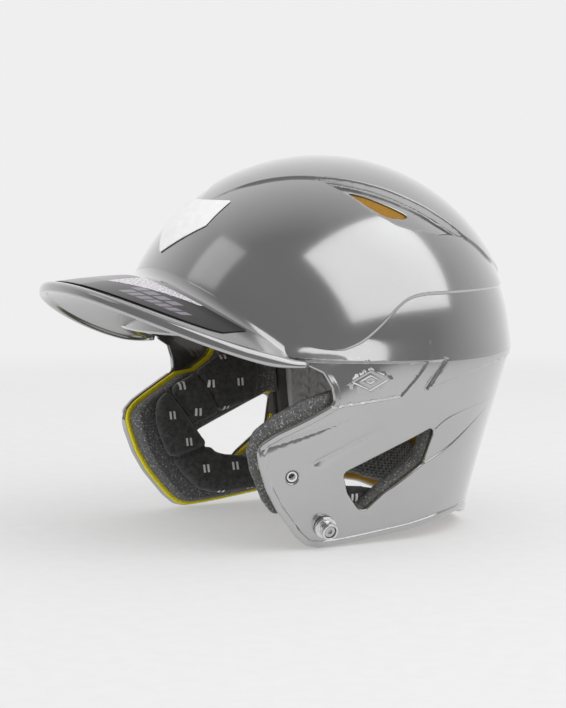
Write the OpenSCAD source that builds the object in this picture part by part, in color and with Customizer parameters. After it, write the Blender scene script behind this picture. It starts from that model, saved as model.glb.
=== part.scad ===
// Batting helmet: moulded shell with brim and two ear flaps, liners, pads and hardware.
// Frame: millimetres, +Z up, front of the helmet towards -Y, the wearer's left is +X.
// Origin: on the resting surface, below the middle of the crown.

/* [Shell] */
// Half of the crown's widest width
crown_half_w = 104; // [100:1:108]
// Centre of the crown to the forehead
crown_front = 123; // [120:1:126]
// Centre of the crown to the back of the head
crown_rear = 117; // [114:1:120]
// Height of the top of the crown
crown_top = 218; // [214:1:222]
// Height of the ridge line where crown and lower wall meet
ridge_z = 105; // [103:1:107]
// Wall thickness of the moulded shell
shell_t = 3; // [2.6:0.1:3.2]
// Inward lean of each ear flap from the ridge to its bottom
flap_lean = 21; // [19:1:23]
// Forward lean of the nape from the ridge to its bottom
nape_lean = 31; // [28:1:33]

/* [Brim] */
// Reach of the brim's tip in front of the crown's centre
brim_reach = 172; // [168:1:178]
// Half of the brim's width where it meets the temples
brim_half_w = 93; // [92:1:95]
// Height of the brim's edge at its tip
brim_tip_z = 148; // [144:1:150]
// Height of the brim's edge at the temples
brim_side_z = 106; // [105:1:108]
// Thickness of the brim
brim_t = 3.6; // [3.2:0.1:4]
// Height of the rounded bead along the brim's edge
bead_h = 5; // [4.4:0.1:5.4]

/* [Pads] */
// Thickness of the foam liner under the crown and at the rear
liner_t = 6; // [5:0.5:7]
// Thickness of the thin foam layer inside each flap
flap_liner_t = 1.8; // [1.5:0.1:2.2]
// Thickness of the firm foam around each ear
ear_foam_t = 9; // [8:0.5:10]
// Thickness of the fabric cushion around each ear
ear_cushion_t = 10; // [8:0.5:11]
// Thickness of the fabric comfort pads
pad_t = 9; // [7:0.5:10]
// Gap between neighbouring layers
gap = 0.3; // [0.3:0.05:0.5]

/* [Hardware] */
// Diameter of the snap stud's base
stud_base_d = 13; // [12.6:0.2:13.4]
// Diameter of the snap stud's post
stud_post_d = 9.6; // [9.4:0.1:9.8]
// Length of the snap stud's post beyond its base
stud_post_h = 5.6; // [5.2:0.2:6]
// Diameter of the stud screw's shank
screw_d = 4; // [3.9:0.05:4.05]
// Diameter of the threaded bore in each T-nut
t_nut_bore_d = 4.14; // [4.12:0.01:4.18]
// Diameter of a T-nut's barrel
t_nut_barrel_d = 5.9; // [5.8:0.1:6.1]
// Diameter of a T-nut's flange
t_nut_flange_d = 12; // [11:0.5:12.5]

/* [Hidden] */

// Exponents of the superellipse sections: behind, in front at the crown, and squarer at the flaps.
rear_n = 2.2;
brow_n = 2;
flap_n = 3.3;
flap_blend_high = 120;
flap_blend_low = 60;
side_curve = 1.5;
nape_curve = 1.3;

// Resolution of the lofted head forms.
shell_around = 64;
pad_around = 40;
wall_rings = 9;
dome_rings = 12;
form_bottom = -12;
wide = 400;

// The brim's lengthwise and crosswise curves.
brim_back_y = -60;
brim_plan_n = 2.2;
brim_edge_curve = 1.4;
brim_root_half_w = 88;
brim_root_side_z = 108;
brim_root_top_z = 151;
brim_root_curve = 1.6;
// How deep in the shell's wall the brim's root lies, as a share of the wall.
brim_root_depth = 0.6;
brim_end_angle = 89;
brim_steps = 32;
// Where the bead starts inside the edge, and its rounded profile as [distance in, height] points.
bead_w = 6;
bead_profile = [[3.5, 0.6], [1, 0.2], [0, -bead_h * 0.3],
                [0, -bead_h * 0.7], [1, -bead_h], [3.5, -bead_h - 0.2]];
// The film on the brim: its height over the brim, and how far it runs from the crown to the edge (0 to 1).
film_low = 0.5;
film_high = 1;
film_start = 0.21;
film_run = 0.62;
film_curve = 0.12;
film_end_angle = 58;
film_steps = 28;

// Depths of the layers, measured inwards from the shell's outer face.
liner_out = shell_t + gap;
liner_in = liner_out + liner_t;
pad_out = liner_in + gap;
pad_in = pad_out + pad_t;
flap_liner_out = shell_t + gap;
flap_liner_in = flap_liner_out + flap_liner_t;
ear_foam_out = flap_liner_in + gap;
ear_foam_in = ear_foam_out + ear_foam_t;
ear_cushion_out = ear_foam_in + gap;
ear_cushion_in = ear_cushion_out + ear_cushion_t;

// Side outlines as [y, z] points, the same on both sides of the helmet.
flap_front = [[-49, 84], [-64, 76.5], [-81, 68.5], [-88, 63.5], [-90.5, 57.5], [-89, 50], [-84, 36],
              [-77, 24], [-64, 8], [-57, 2], [-49, 0]];
lower_rim = [[-36, 0.5], [-23, 1.5], [10, 5], [35, 9], [54, 11], [66, 9.5], [78, 3.5], [86, 0]];
face_edge = [[-140, 120], [-112, 119], [-76, 110.5], [-65, 106.5], [-54, 100.5], [-50, 93]];
ear_hole = [[-39, 43], [17, 65], [19.5, 63], [15, 46], [-8, 31], [-21, 20], [-26, 21], [-34.5, 31]];
cushion_front = [[-65, 75], [-74, 67], [-75, 54], [-69, 37], [-58, 22], [-46, 10.5], [-30, 7], [0, 8.5]];
cushion_rear = [[10, 15], [4, 23], [-6, 29], [-20, 32], [-30, 34], [-37, 41], [-43.5, 49.5]];
temple_corners = [[-62.5, 75], [-42, 51], [2, 64], [6, 80], [3, 92], [-12, 95], [-25, 93.5], [-44, 83.5]];
// The upper edge of the flap's foams, and how far the left ear foam stands past the shell's edge.
flap_layer_top = [[60, 112], [-12, 112], [-24, 93], [-36, 85.5]];
left_foam_rise = [[-40, 70], [-30, 92], [-47, 90], [-62, 86], [-80, 75.5], [-84.5, 66], [-70, 60]];
vent_hole = [[56, -15], [70, -4], [73, 1], [73, 16], [69, 18], [63, 5], [58, -6]];
edge_round = 3;
liner_setback = 1.2;
foam_setback = 2.2;
flap_rear_y = 22;
ear_clearance = 2.5;

// Places of the liners and comfort pads: side outlines as [y, z] points, the crown pad as [x, y] points.
crown_liner_low_z = ridge_z + 17;
rear_liner_y = flap_rear_y + 2;
rear_liner_high_z = ridge_z + 16;
front_pad_half_w = 62;
front_pad_h = 34;
front_pad_low_z = ridge_z + 18;
crown_pad_low_z = ridge_z + 40;
crown_pad_plan = [[-34, -44], [34, -44], [42, 10], [30, 52], [-30, 52], [-42, 10]];
rear_pad_outline = [[flap_rear_y + 1, 46], [140, 40], [140, 112], [flap_rear_y + 1, 112]];
nape_pad_outline = [[flap_rear_y + 10, 14], [60, 15], [84, 6], [140, 4], [140, 36], [flap_rear_y + 10, 42]];
extra_nape_t = 2;
vent_low_z = ridge_z + 50;
emblem_low_z = ridge_z + 55;
emblem_outline = [[-24, 34], [24, 34], [24, 20], [0, 4], [-24, 20]];
emblem_t = 0.6;

// Places of the hardware on the shell's outer face, and its sizes.
stud_z = 13;
stud_y = -47;
guard_z = 43;
guard_y = -70;
shell_hole_d = 7.2;
stud_base_h = 2.4;
stud_bore_d = 4.6;
head_recess_d = 7.2;
head_recess_h = 3.4;
screw_head_d = 6.8;
screw_head_h = 2.4;
drive_d = 2.6;
drive_depth = 1.4;
t_nut_flange_h = 1.1;
t_nut_barrel_h = 3;
flange_pocket_d = t_nut_flange_d + 1;
flange_pocket_h = 3.4;
seat_gap = 0.25;
t_nut_seat = 0.6;

// Head form: one lofted surface that every layer of the helmet is measured from.
function smooth(low, high, v) = let (t = max(0, min(1, (v - low) / (high - low)))) t * t * (3 - 2 * t);
function signed_pow(v, p) = sign(v) * pow(abs(v), p);
function dome(z, top) = z <= ridge_z ? 1 : sqrt(max(0, 1 - pow((z - ridge_z) / (top - ridge_z), 2)));
function below(z) = max(0, min(1.15, (ridge_z - z) / ridge_z));
function half_width(z, inset) =
    (crown_half_w - inset - flap_lean * pow(below(z), side_curve)) * dome(z, crown_top - inset);
function front_length(z, inset) = (crown_front - inset) * dome(z, crown_top - inset);
function rear_length(z, inset) =
    (crown_rear - inset - nape_lean * (1 - pow(max(0, 1 - below(z)), nape_curve)))
    * dome(z, crown_top - inset);
function front_n(z) = brow_n + (flap_n - brow_n) * smooth(flap_blend_high, flap_blend_low, z);
function form_point(z, angle, inset) =
    let (n = sin(angle) > 0 ? rear_n : front_n(z),
         reach = sin(angle) > 0 ? rear_length(z, inset) : front_length(z, inset))
    [half_width(z, inset) * signed_pow(cos(angle), 2 / n), reach * signed_pow(sin(angle), 2 / n), z];
function form_levels(inset) = concat(
    [for (i = [0 : wall_rings - 1]) form_bottom + (ridge_z - form_bottom) * i / wall_rings],
    [for (i = [0 : dome_rings - 1]) ridge_z + (crown_top - inset - ridge_z) * sin(90 * i / dome_rings)]);

// Half width of the form at a place on its side or front, from the superellipse of that level.
function side_x(y, z, inset) =
    let (n = y > 0 ? rear_n : front_n(z), reach = y > 0 ? rear_length(z, inset) : front_length(z, inset))
    half_width(z, inset) * pow(max(0, 1 - pow(abs(y) / reach, n)), 1 / n);
function front_y(x, z, inset) =
    -front_length(z, inset) * pow(max(0, 1 - pow(abs(x) / half_width(z, inset), front_n(z))), 1 / front_n(z));

// Outward direction of the shell at a place on its left side.
slope_step = 0.5;
function side_normal(y, z) =
    let (across = (side_x(y + slope_step, z, 0) - side_x(y - slope_step, z, 0)) / (2 * slope_step),
         upright = (side_x(y, z + slope_step, 0) - side_x(y, z - slope_step, 0)) / (2 * slope_step))
    [1, -across, -upright] / norm([1, -across, -upright]);

// A closed solid of stacked rings, capped flat below and by one point on top.
module stack(rings, peak) {
    count = len(rings[0]);
    levels = len(rings);
    points = concat([for (ring = rings) each ring], [peak]);
    sides = [for (level = [0 : levels - 2], i = [0 : count - 1])
        let (a = level * count + i, b = level * count + (i + 1) % count)
        each [[a, a + count, b], [b, a + count, b + count]]];
    top = (levels - 1) * count;
    lid = [for (i = [0 : count - 1]) [top + i, levels * count, top + (i + 1) % count]];
    floor_face = [for (i = [0 : count - 1]) i];
    polyhedron(points, concat(sides, lid, [floor_face]));
}

module head_form(inset, around = pad_around) {
    rings = [for (z = form_levels(inset))
        [for (i = [0 : around - 1]) form_point(z, 360 * i / around, inset)]];
    stack(rings, [0, 0, crown_top - inset]);
}

// The layer of the head form between two depths.
module layer(outer, inner, around = pad_around) {
    difference() {
        head_form(outer, around);
        difference() {
            head_form(inner, around);
            translate([-wide / 2, -wide / 2, form_bottom * 2 - wide])
                cube(wide);
        }
        translate([-wide / 2, -wide / 2, form_bottom - 1])
            cube([wide, wide, 2]);
    }
}

// Trims its children to a side outline, on the left (1), the right (-1) or both sides (0).
module side_cut(side) {
    intersection() {
        children(0);
        translate([side == 1 ? 1 : -wide / 2, 0, 0])
            rotate([90, 0, 90])
                linear_extrude(side == 0 ? wide : wide / 2 - 1)
                    children(1);
    }
}

// Mirrors a left-hand part to the right side when side is -1.
module on_side(side) {
    if (side > 0) children();
    else mirror([1, 0, 0]) children();
}

// One continuous moulding: every cut and join below it ends as a single skin.
module one_moulding() {
    resize([0, 0, 0]) union() children();
}

module rounded(r) {
    offset(r) offset(-r) children();
}

// Side outlines.
module shell_outline() {
    rounded(edge_round)
        polygon(concat(face_edge, flap_front, lower_rim, [[140, 0], [140, 240], [-140, 240]]));
}

module flap_outline(setback) {
    offset(delta = -setback)
        intersection() {
            rounded(edge_round)
                polygon(concat(flap_layer_top, flap_front, lower_rim, [[86, 30]]));
            translate([-100, -5])
                square([100 + flap_rear_y, 107]);
        }
}

module ear_outline(margin) {
    offset(margin) polygon(ear_hole);
}

module cushion_outline() {
    rounded(3) polygon(concat(cushion_front, cushion_rear));
}

module temple_outline() {
    rounded(4) polygon(temple_corners);
}

// Turns the Z axis onto the shell's outward direction at a place on the left side.
module at_side(y, z) {
    out = side_normal(y, z);
    translate([side_x(y, z, 0), y, z])
        rotate([0, acos(out[2]), atan2(out[1], out[0])])
            children();
}

// Room in the layers behind the shell for the T-nuts' flanges and the screw's end.
module flange_pockets() {
    for (place = [[stud_y, stud_z], [guard_y, guard_z]])
        at_side(place[0], place[1])
            translate([0, 0, -shell_t - flange_pocket_h])
                cylinder(h = flange_pocket_h + 1, d = flange_pocket_d, $fn = 40);
}

module shell_holes() {
    for (place = [[stud_y, stud_z], [guard_y, guard_z]])
        at_side(place[0], place[1])
            translate([0, 0, -10])
                cylinder(h = 20, d = shell_hole_d, $fn = 40);
}

// Brim: cross-sections from one temple over the forehead to the other.
function brim_root(a, inset) =
    let (x = brim_root_half_w * sin(a),
         z = brim_root_side_z + (brim_root_top_z - brim_root_side_z) * pow(cos(a), brim_root_curve))
    [x, front_y(x, z, inset), z];
function brim_edge(a) =
    [brim_half_w * signed_pow(sin(a), 2 / brim_plan_n),
     brim_back_y - (brim_reach + brim_back_y) * pow(cos(a), 2 / brim_plan_n),
     brim_side_z + (brim_tip_z - brim_side_z) * pow(cos(a), brim_edge_curve)];
function brim_section(a) =
    let (root = brim_root(a, shell_t * brim_root_depth), edge = brim_edge(a),
         out = (edge - root) / norm(edge - root), under = [0, 0, -brim_t])
    concat([root, edge - out * bead_w], [for (p = bead_profile) edge - out * p[0] + [0, 0, p[1]]],
           [edge - out * bead_w + under, root + under]);

// A closed solid through sections of equal point counts, capped at both ends.
module loft(sections) {
    count = len(sections[0]);
    steps = len(sections) - 1;
    points = [for (section = sections) each section];
    sides = [for (s = [0 : steps - 1], i = [0 : count - 1])
        let (a = s * count + i, b = s * count + (i + 1) % count)
        each [[a, a + count, b], [b, a + count, b + count]]];
    first = [for (i = [0 : count - 1]) i];
    last = [for (i = [count - 1 : -1 : 0]) steps * count + i];
    polyhedron(points, concat(sides, [first, last]));
}

module brim() {
    loft([for (i = [0 : brim_steps]) brim_section(brim_end_angle * (2 * i / brim_steps - 1))]);
}

module shell() {
    color("dimgray")
        one_moulding() {
            difference() {
                side_cut(0) {
                    layer(0, shell_t, shell_around);
                    shell_outline();
                }
                rotate([90, 0, 90])
                    translate([0, 0, -wide / 2])
                        linear_extrude(wide)
                            ear_outline(0);
                for (side = [-1, 1])
                    on_side(side) {
                        translate([0, 0, vent_low_z])
                            linear_extrude(wide / 4)
                                rounded(1)
                                    polygon(vent_hole);
                        shell_holes();
                    }
            }
            brim();
        }
}

// Liners: firm foam under the crown, behind the head and inside each flap.
module crown_liner() {
    color("goldenrod")
        one_moulding()
            intersection() {
                layer(liner_out, liner_in);
                translate([-wide / 2, -wide / 2, crown_liner_low_z])
                    cube(wide);
            }
}

module rear_liner() {
    color("goldenrod")
        one_moulding()
            side_cut(0) {
                layer(liner_out, liner_in);
                intersection() {
                    offset(delta = -liner_setback) shell_outline();
                    translate([rear_liner_y, 0])
                        square([wide, rear_liner_high_z]);
                }
            }
}

module flap_liner(side) {
    color("gold")
        one_moulding()
            on_side(side)
                difference() {
                    side_cut(1) {
                        layer(flap_liner_out, flap_liner_in);
                        difference() {
                            flap_outline(liner_setback);
                            ear_outline(ear_clearance / 2);
                        }
                    }
                    flange_pockets();
                }
}

module ear_foam(side) {
    color("darkslategray")
        one_moulding()
            on_side(side)
                difference() {
                    side_cut(1) {
                        layer(ear_foam_out, ear_foam_in);
                        difference() {
                            union() {
                                flap_outline(foam_setback);
                                if (side > 0) rounded(edge_round) polygon(left_foam_rise);
                            }
                            ear_outline(ear_clearance);
                        }
                    }
                    flange_pockets();
                }
}

module ear_cushion(side) {
    color("black")
        one_moulding()
            on_side(side)
                side_cut(1) {
                    layer(ear_cushion_out, ear_cushion_in);
                    cushion_outline();
                }
}

module temple_pad(side) {
    color("black")
        one_moulding()
            on_side(side)
                side_cut(1) {
                    layer(ear_cushion_out, ear_cushion_in - 1);
                    temple_outline();
                }
}

module front_pad() {
    color("black")
        one_moulding()
            intersection() {
                layer(pad_out, pad_in);
                rotate([90, 0, 0])
                    linear_extrude(wide / 2)
                        rounded(8)
                            translate([-front_pad_half_w, front_pad_low_z])
                                square([2 * front_pad_half_w, front_pad_h]);
            }
}

module crown_pad() {
    color("black")
        one_moulding()
            intersection() {
                layer(pad_out, pad_in);
                translate([0, 0, crown_pad_low_z])
                    linear_extrude(wide / 4)
                        rounded(10)
                            polygon(crown_pad_plan);
            }
}

module rear_pad() {
    color("gray")
        one_moulding()
            side_cut(0) {
                layer(pad_out, pad_in);
                rounded(4)
                    polygon(rear_pad_outline);
            }
}

module nape_pad() {
    color("black")
        one_moulding()
            side_cut(0) {
                layer(pad_out, pad_in + extra_nape_t);
                rounded(4)
                    polygon(nape_pad_outline);
            }
}

// Hardware, built along Z with the shell's outer face at z = 0.
module snap_stud(side) {
    color("silver")
        on_side(side)
            at_side(stud_y, stud_z)
                translate([0, 0, seat_gap])
                    difference() {
                        union() {
                            cylinder(h = stud_base_h, d = stud_base_d, $fn = 64);
                            cylinder(h = stud_base_h + stud_post_h, d = stud_post_d, $fn = 64);
                        }
                        translate([0, 0, -1])
                            cylinder(h = stud_base_h + stud_post_h, d = stud_bore_d, $fn = 48);
                        translate([0, 0, stud_base_h + stud_post_h - head_recess_h])
                            cylinder(h = head_recess_h + 1, d = head_recess_d, $fn = 48);
                    }
}

module stud_screw(side) {
    head_z = seat_gap + stud_base_h + stud_post_h - head_recess_h + seat_gap;
    shank_end = -shell_t - t_nut_seat - t_nut_flange_h + seat_gap;
    color("lightgray")
        on_side(side)
            at_side(stud_y, stud_z)
                difference() {
                    union() {
                        translate([0, 0, shank_end])
                            cylinder(h = head_z - shank_end + 1, d = screw_d, $fn = 48);
                        translate([0, 0, head_z])
                            cylinder(h = screw_head_h, d = screw_head_d, $fn = 48);
                    }
                    translate([0, 0, head_z + screw_head_h - drive_depth])
                        cylinder(h = drive_depth + 1, d = drive_d, $fn = 6);
                }
}

module t_nut(side, y, z) {
    color("white")
        on_side(side)
            at_side(y, z)
                translate([0, 0, -shell_t - t_nut_seat])
                    difference() {
                        union() {
                            translate([0, 0, -t_nut_flange_h])
                                cylinder(h = t_nut_flange_h, d = t_nut_flange_d, $fn = 64);
                            translate([0, 0, -t_nut_flange_h])
                                cylinder(h = t_nut_flange_h + t_nut_barrel_h, d = t_nut_barrel_d, $fn = 48);
                        }
                        translate([0, 0, -t_nut_flange_h - 1])
                            cylinder(h = t_nut_flange_h + t_nut_barrel_h + 2, d = t_nut_bore_d, $fn = 48);
                    }
}

// A thin skin that lies on the crown, cut to a front-view outline.
module front_emblem() {
    color("white")
        one_moulding()
            intersection() {
                layer(-gap - emblem_t, -gap, shell_around);
                translate([0, 0, emblem_low_z])
                    rotate([90, 0, 0])
                        linear_extrude(wide / 2)
                            rounded(1)
                                polygon(emblem_outline);
            }
}

// A thin film on top of the brim's middle, following the brim's own sections.
function film_point(a, run, height) =
    let (root = brim_root(a, 0), edge = brim_edge(a))
    root + (edge - root) * run + [0, 0, height];
function film_stop(a) = film_start + film_run * pow(cos(90 * a / (film_end_angle + 1)), film_curve);
function film_section(a) =
    [film_point(a, film_start, film_high), film_point(a, film_stop(a), film_high),
     film_point(a, film_stop(a), film_low), film_point(a, film_start, film_low)];

module brim_decal() {
    color("black")
        loft([for (i = [0 : film_steps]) film_section(film_end_angle * (2 * i / film_steps - 1))]);
}

shell();
crown_liner();
rear_liner();
flap_liner(1);  // left_flap_liner
flap_liner(-1);  // right_flap_liner
ear_foam(1);  // left_ear_foam
ear_foam(-1);  // right_ear_foam
ear_cushion(1);  // left_ear_cushion
ear_cushion(-1);  // right_ear_cushion
temple_pad(1);  // left_temple_pad
temple_pad(-1);  // right_temple_pad
front_pad();
crown_pad();
rear_pad();
nape_pad();
snap_stud(1);  // left_snap_stud
snap_stud(-1);  // right_snap_stud
stud_screw(1);  // left_stud_screw
stud_screw(-1);  // right_stud_screw
t_nut(1, stud_y, stud_z);  // left_stud_t_nut
t_nut(-1, stud_y, stud_z);  // right_stud_t_nut
t_nut(1, guard_y, guard_z);  // left_face_guard_t_nut
t_nut(-1, guard_y, guard_z);  // right_face_guard_t_nut
front_emblem();
brim_decal();
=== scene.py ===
"""A batting helmet: glossy moulded shell, foam liners, fabric pads and fastening hardware.

Lengths in this script are millimetres in the frame of the CAD part (front -Y, wearer's left +X), and
become metres when a mesh is made. Each piece is made for the wearer's left or for both sides, and
mirrored across X = 0 where the helmet has it twice.
"""
import math

import bpy
import numpy as np
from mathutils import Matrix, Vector


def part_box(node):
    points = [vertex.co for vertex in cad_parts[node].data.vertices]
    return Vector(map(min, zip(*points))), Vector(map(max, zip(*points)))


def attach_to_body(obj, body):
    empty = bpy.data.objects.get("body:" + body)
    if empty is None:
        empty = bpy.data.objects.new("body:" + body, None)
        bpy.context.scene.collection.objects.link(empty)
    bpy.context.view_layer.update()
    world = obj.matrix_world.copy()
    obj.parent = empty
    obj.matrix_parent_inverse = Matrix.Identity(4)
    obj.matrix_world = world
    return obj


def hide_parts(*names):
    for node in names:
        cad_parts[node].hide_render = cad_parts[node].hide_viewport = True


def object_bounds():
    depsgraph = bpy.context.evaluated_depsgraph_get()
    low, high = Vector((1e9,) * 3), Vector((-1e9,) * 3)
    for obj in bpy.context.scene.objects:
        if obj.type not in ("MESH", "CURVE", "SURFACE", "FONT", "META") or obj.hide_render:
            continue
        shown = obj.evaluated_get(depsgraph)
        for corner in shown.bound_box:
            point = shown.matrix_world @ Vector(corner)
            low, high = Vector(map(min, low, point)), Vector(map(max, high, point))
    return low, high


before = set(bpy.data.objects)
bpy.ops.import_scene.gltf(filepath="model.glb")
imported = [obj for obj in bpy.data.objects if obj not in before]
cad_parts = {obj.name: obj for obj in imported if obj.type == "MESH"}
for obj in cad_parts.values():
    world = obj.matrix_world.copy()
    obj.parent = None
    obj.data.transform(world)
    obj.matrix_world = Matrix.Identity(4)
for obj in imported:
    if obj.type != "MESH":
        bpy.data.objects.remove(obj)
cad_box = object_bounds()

MM = 0.001
SIDES = {"left": 1, "right": -1}

# ---------------------------------------------------------------- the head form, as in the CAD part
shell_low, shell_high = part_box("shell")
CROWN_HALF_W = shell_high.x / MM
CROWN_REAR = shell_high.y / MM
CROWN_TOP = shell_high.z / MM
BRIM_REACH = -shell_low.y / MM
CROWN_FRONT = 123
RIDGE_Z = 105
SHELL_T = 3
FLAP_LEAN = 21
NAPE_LEAN = 31
REAR_N = 2.2
BROW_N = 2
FLAP_N = 3.3
FLAP_BLEND = (120, 60)
FORM_BOTTOM = -8
# Points handled at once by the distance functions, to keep their arrays small.
CHUNK = 3000

# Depths of the layers below the shell's outer face.
LINER_OUT = 3.3
LINER_T = 6
FLAP_LINER_T = 1.8
PAD_OUT = 9.6
PAD_T = 9
EAR_FOAM_OUT = 5.4
EAR_FOAM_T = 9
EAR_CUSHION_OUT = 14.7
EAR_CUSHION_T = 10

# Side outlines as (y, z, corner radius) on the helmet's left.
FACE_EDGE = [(-140, 120, 0), (-112, 119, 20), (-76, 110.5, 20), (-65, 106.5, 12), (-54, 100.5, 2.5),
             (-50, 92, 6)]
FLAP_FRONT = [(-49, 84, 2.5), (-64, 76.5, 20), (-81, 68.5, 20), (-88, 63.5, 8), (-90.5, 57.5, 6),
              (-89, 50, 12),
              (-84, 36, 25), (-77, 24, 25), (-64, 8, 12), (-57, 2, 8), (-49, 0, 10)]
LOWER_RIM = [(-36, 0.5, 20), (-23, 1.5, 20), (10, 5, 40), (35, 9, 20), (54, 11, 12), (66, 9.5, 10),
             (78, 3.5, 10),
             (86, 0, 6)]
EAR_HOLE = [(-39, 43, 3), (17, 65, 3), (19.5, 63, 2), (15, 46, 7), (-8, 31, 20), (-21, 20, 3), (-26, 21, 5),
            (-34.5, 31, 10)]
CUSHION_FRONT = [(-65, 75, 3), (-74, 67, 8), (-75, 54, 16), (-69, 37, 16), (-58, 22, 16), (-46, 10.5, 10),
                 (-30, 7, 10), (0, 8.5, 4)]
CUSHION_REAR = [(10, 15, 5), (4, 23, 8), (-6, 29, 8), (-20, 32, 8), (-30, 34, 8), (-37, 41, 6),
                (-43.5, 49.5, 3)]
TEMPLE_PAD = [(-62.5, 75, 3), (-42, 51, 4), (2, 64, 5), (6, 80, 6), (3, 92, 6), (-12, 95, 8), (-25, 93.5, 8),
              (-44, 83.5, 8)]
# The upper edge of the flap's foams, and how far the left ear foam stands past the shell's edge.
FLAP_LAYER_TOP = [(60, 112, 0), (-12, 112, 0), (-24, 93, 8), (-36, 85.5, 4)]
LEFT_FOAM_RISE = [(-40, 70, 0), (-30, 92, 4), (-47, 90, 5), (-62, 86, 8), (-80, 77, 10), (-90, 68, 8),
                  (-93, 57, 8),
                  (-90, 45, 10), (-82, 28, 10), (-74, 18, 6), (-60, 30, 0)]
REAR_PAD = [(23, 46, 4), (140, 40, 0), (140, 112, 0), (23, 112, 4)]
NAPE_PAD = [(32, 14, 6), (60, 15, 6), (84, 6, 6), (140, 4, 0), (140, 36, 0), (32, 42, 6)]
# Plan outlines as (x, y, corner radius).
VENT_HOLE = [(55.5, -14, 1), (66, -7, 10), (71, -1, 8), (73, 4, 6), (73, 13, 3), (71.5, 18.5, 1), (66, 7, 20),
             (59.5, -5, 20)]
VENT_LENS = [(41, -27, 1), (56, -18, 20), (70, -9, 20), (78, 5, 10), (80, 16, 12), (79, 34, 20), (71, 57, 1),
             (68, 40, 30), (62, 21, 30), (52, -3, 30)]
TOP_PANEL = [(-40, -86, 10), (0, -86, 10), (9, -73, 20), (22, -56, 20), (41, -27, 8), (52, -3, 30),
             (62, 21, 30),
             (68, 40, 30), (71, 57, 10), (66, 78, 20), (48, 97, 20), (20, 108, 20), (-40, 112, 0)]
CROWN_PAD = [(-40, -44, 0), (34, -44, 10), (42, 10, 20), (30, 52, 10), (-40, 52, 0)]
# The forehead pad and the emblem as (x, z, corner radius), seen from the front.
FRONT_PAD = [(-80, 123, 0), (62, 123, 8), (62, 157, 8), (-80, 157, 0)]
EMBLEM = [(-30, 194, 0), (24, 194, 1.2), (24, 180, 1.2), (0, 164, 1.2), (-30, 184, 0)]


def clamp01(v):
    return np.clip(v, 0, 1)


def smooth(low, high, v):
    t = clamp01((v - low) / (high - low))
    return t * t * (3 - 2 * t)


def signed_pow(v, p):
    return np.sign(v) * np.abs(v) ** p


def form_sizes(z, inset):
    """Half width, front length, rear length and front exponent of the form at each height."""
    below = np.clip((RIDGE_Z - z) / RIDGE_Z, 0, 1.15)
    width = CROWN_HALF_W - inset - FLAP_LEAN * below ** 1.5
    front = CROWN_FRONT - inset + 0 * z
    rear = CROWN_REAR - inset - NAPE_LEAN * (1 - clamp01(1 - below) ** 1.3)
    front_n = BROW_N + (FLAP_N - BROW_N) * smooth(FLAP_BLEND[0], FLAP_BLEND[1], z)
    return width, front, rear, front_n


def dome_share(z, inset):
    """How far up the dome a height is: 0 at the ridge, 1 at the top."""
    return clamp01((z - RIDGE_Z) / (CROWN_TOP - inset - RIDGE_Z))


def form_field(p, inset):
    """Zero on the form at this inset, negative inside it; p is an array of points."""
    width, front, rear, front_n = form_sizes(p[:, 2], inset)
    behind = p[:, 1] > 0
    n = np.where(behind, REAR_N, front_n)
    length = np.where(behind, rear, front)
    ring = (np.abs(p[:, 0] / width) ** n + np.abs(p[:, 1] / length) ** n) ** (1 / n)
    lift = np.maximum(p[:, 2] - RIDGE_Z, 0) / (CROWN_TOP - inset - RIDGE_Z)
    return ring ** 2 + lift ** 2 - 1


def slope(field, p, step=0.05):
    """Gradient of a scalar field by central differences."""
    shifts = np.eye(3) * step
    return np.stack([(field(p + s) - field(p - s)) / (2 * step) for s in shifts], axis=1)


def unit(v):
    return v / np.maximum(np.linalg.norm(v, axis=1, keepdims=True), 1e-12)


def form_normal(p, inset):
    return unit(slope(lambda q: form_field(q, inset), p))


def onto_form(p, inset):
    """Moves points onto the form along its own slope; points on the middle plane stay there."""
    p = p.copy()
    middle = np.abs(p[:, 0]) < 1e-6
    for _ in range(4):
        g = slope(lambda q: form_field(q, inset), p)
        p -= g * (form_field(p, inset) / np.maximum((g * g).sum(1), 1e-12))[:, None]
        p[middle, 0] = 0
    return p


def side_x(y, z, inset):
    """The left side's x on the form at a place (y, z)."""
    width, front, rear, front_n = form_sizes(np.asarray(z, float), inset)
    n = np.where(y > 0, REAR_N, front_n)
    length = np.where(y > 0, rear, front) * np.sqrt(1 - dome_share(z, inset) ** 2)
    return width * np.sqrt(1 - dome_share(z, inset) ** 2) * clamp01(1 - (np.abs(y) / length) ** n) ** (1 / n)


def front_y(x, z, inset):
    """The front's y on the form at a place (x, z)."""
    width, front, _, n = form_sizes(np.asarray(z, float), inset)
    shrink = np.sqrt(1 - dome_share(z, inset) ** 2)
    return -front * shrink * clamp01(1 - np.abs(x / (width * shrink)) ** n) ** (1 / n)


# ---------------------------------------------------------------- outlines and curves
def outline(corners, steps=4):
    """A closed polyline through (u, v, radius) corners, each rounded by a short arc."""
    points = []
    count = len(corners)
    for i, (u, v, radius) in enumerate(corners):
        here = np.array([u, v], float)
        before = np.array(corners[i - 1][:2], float) - here
        after = np.array(corners[(i + 1) % count][:2], float) - here
        len_b, len_a = np.linalg.norm(before), np.linalg.norm(after)
        if radius <= 0:
            points.append(here)
            continue
        cos_corner = np.clip(before @ after / (len_b * len_a), -1, 1)
        half = math.acos(cos_corner) / 2
        cut = min(radius / math.tan(half), 0.48 * len_b, 0.48 * len_a)
        a, b = here + before / len_b * cut, here + after / len_a * cut
        for k in range(steps + 1):
            t = k / steps
            points.append(a * (1 - t) ** 2 + 2 * here * t * (1 - t) + b * t * t)
    return np.array(points)


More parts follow.
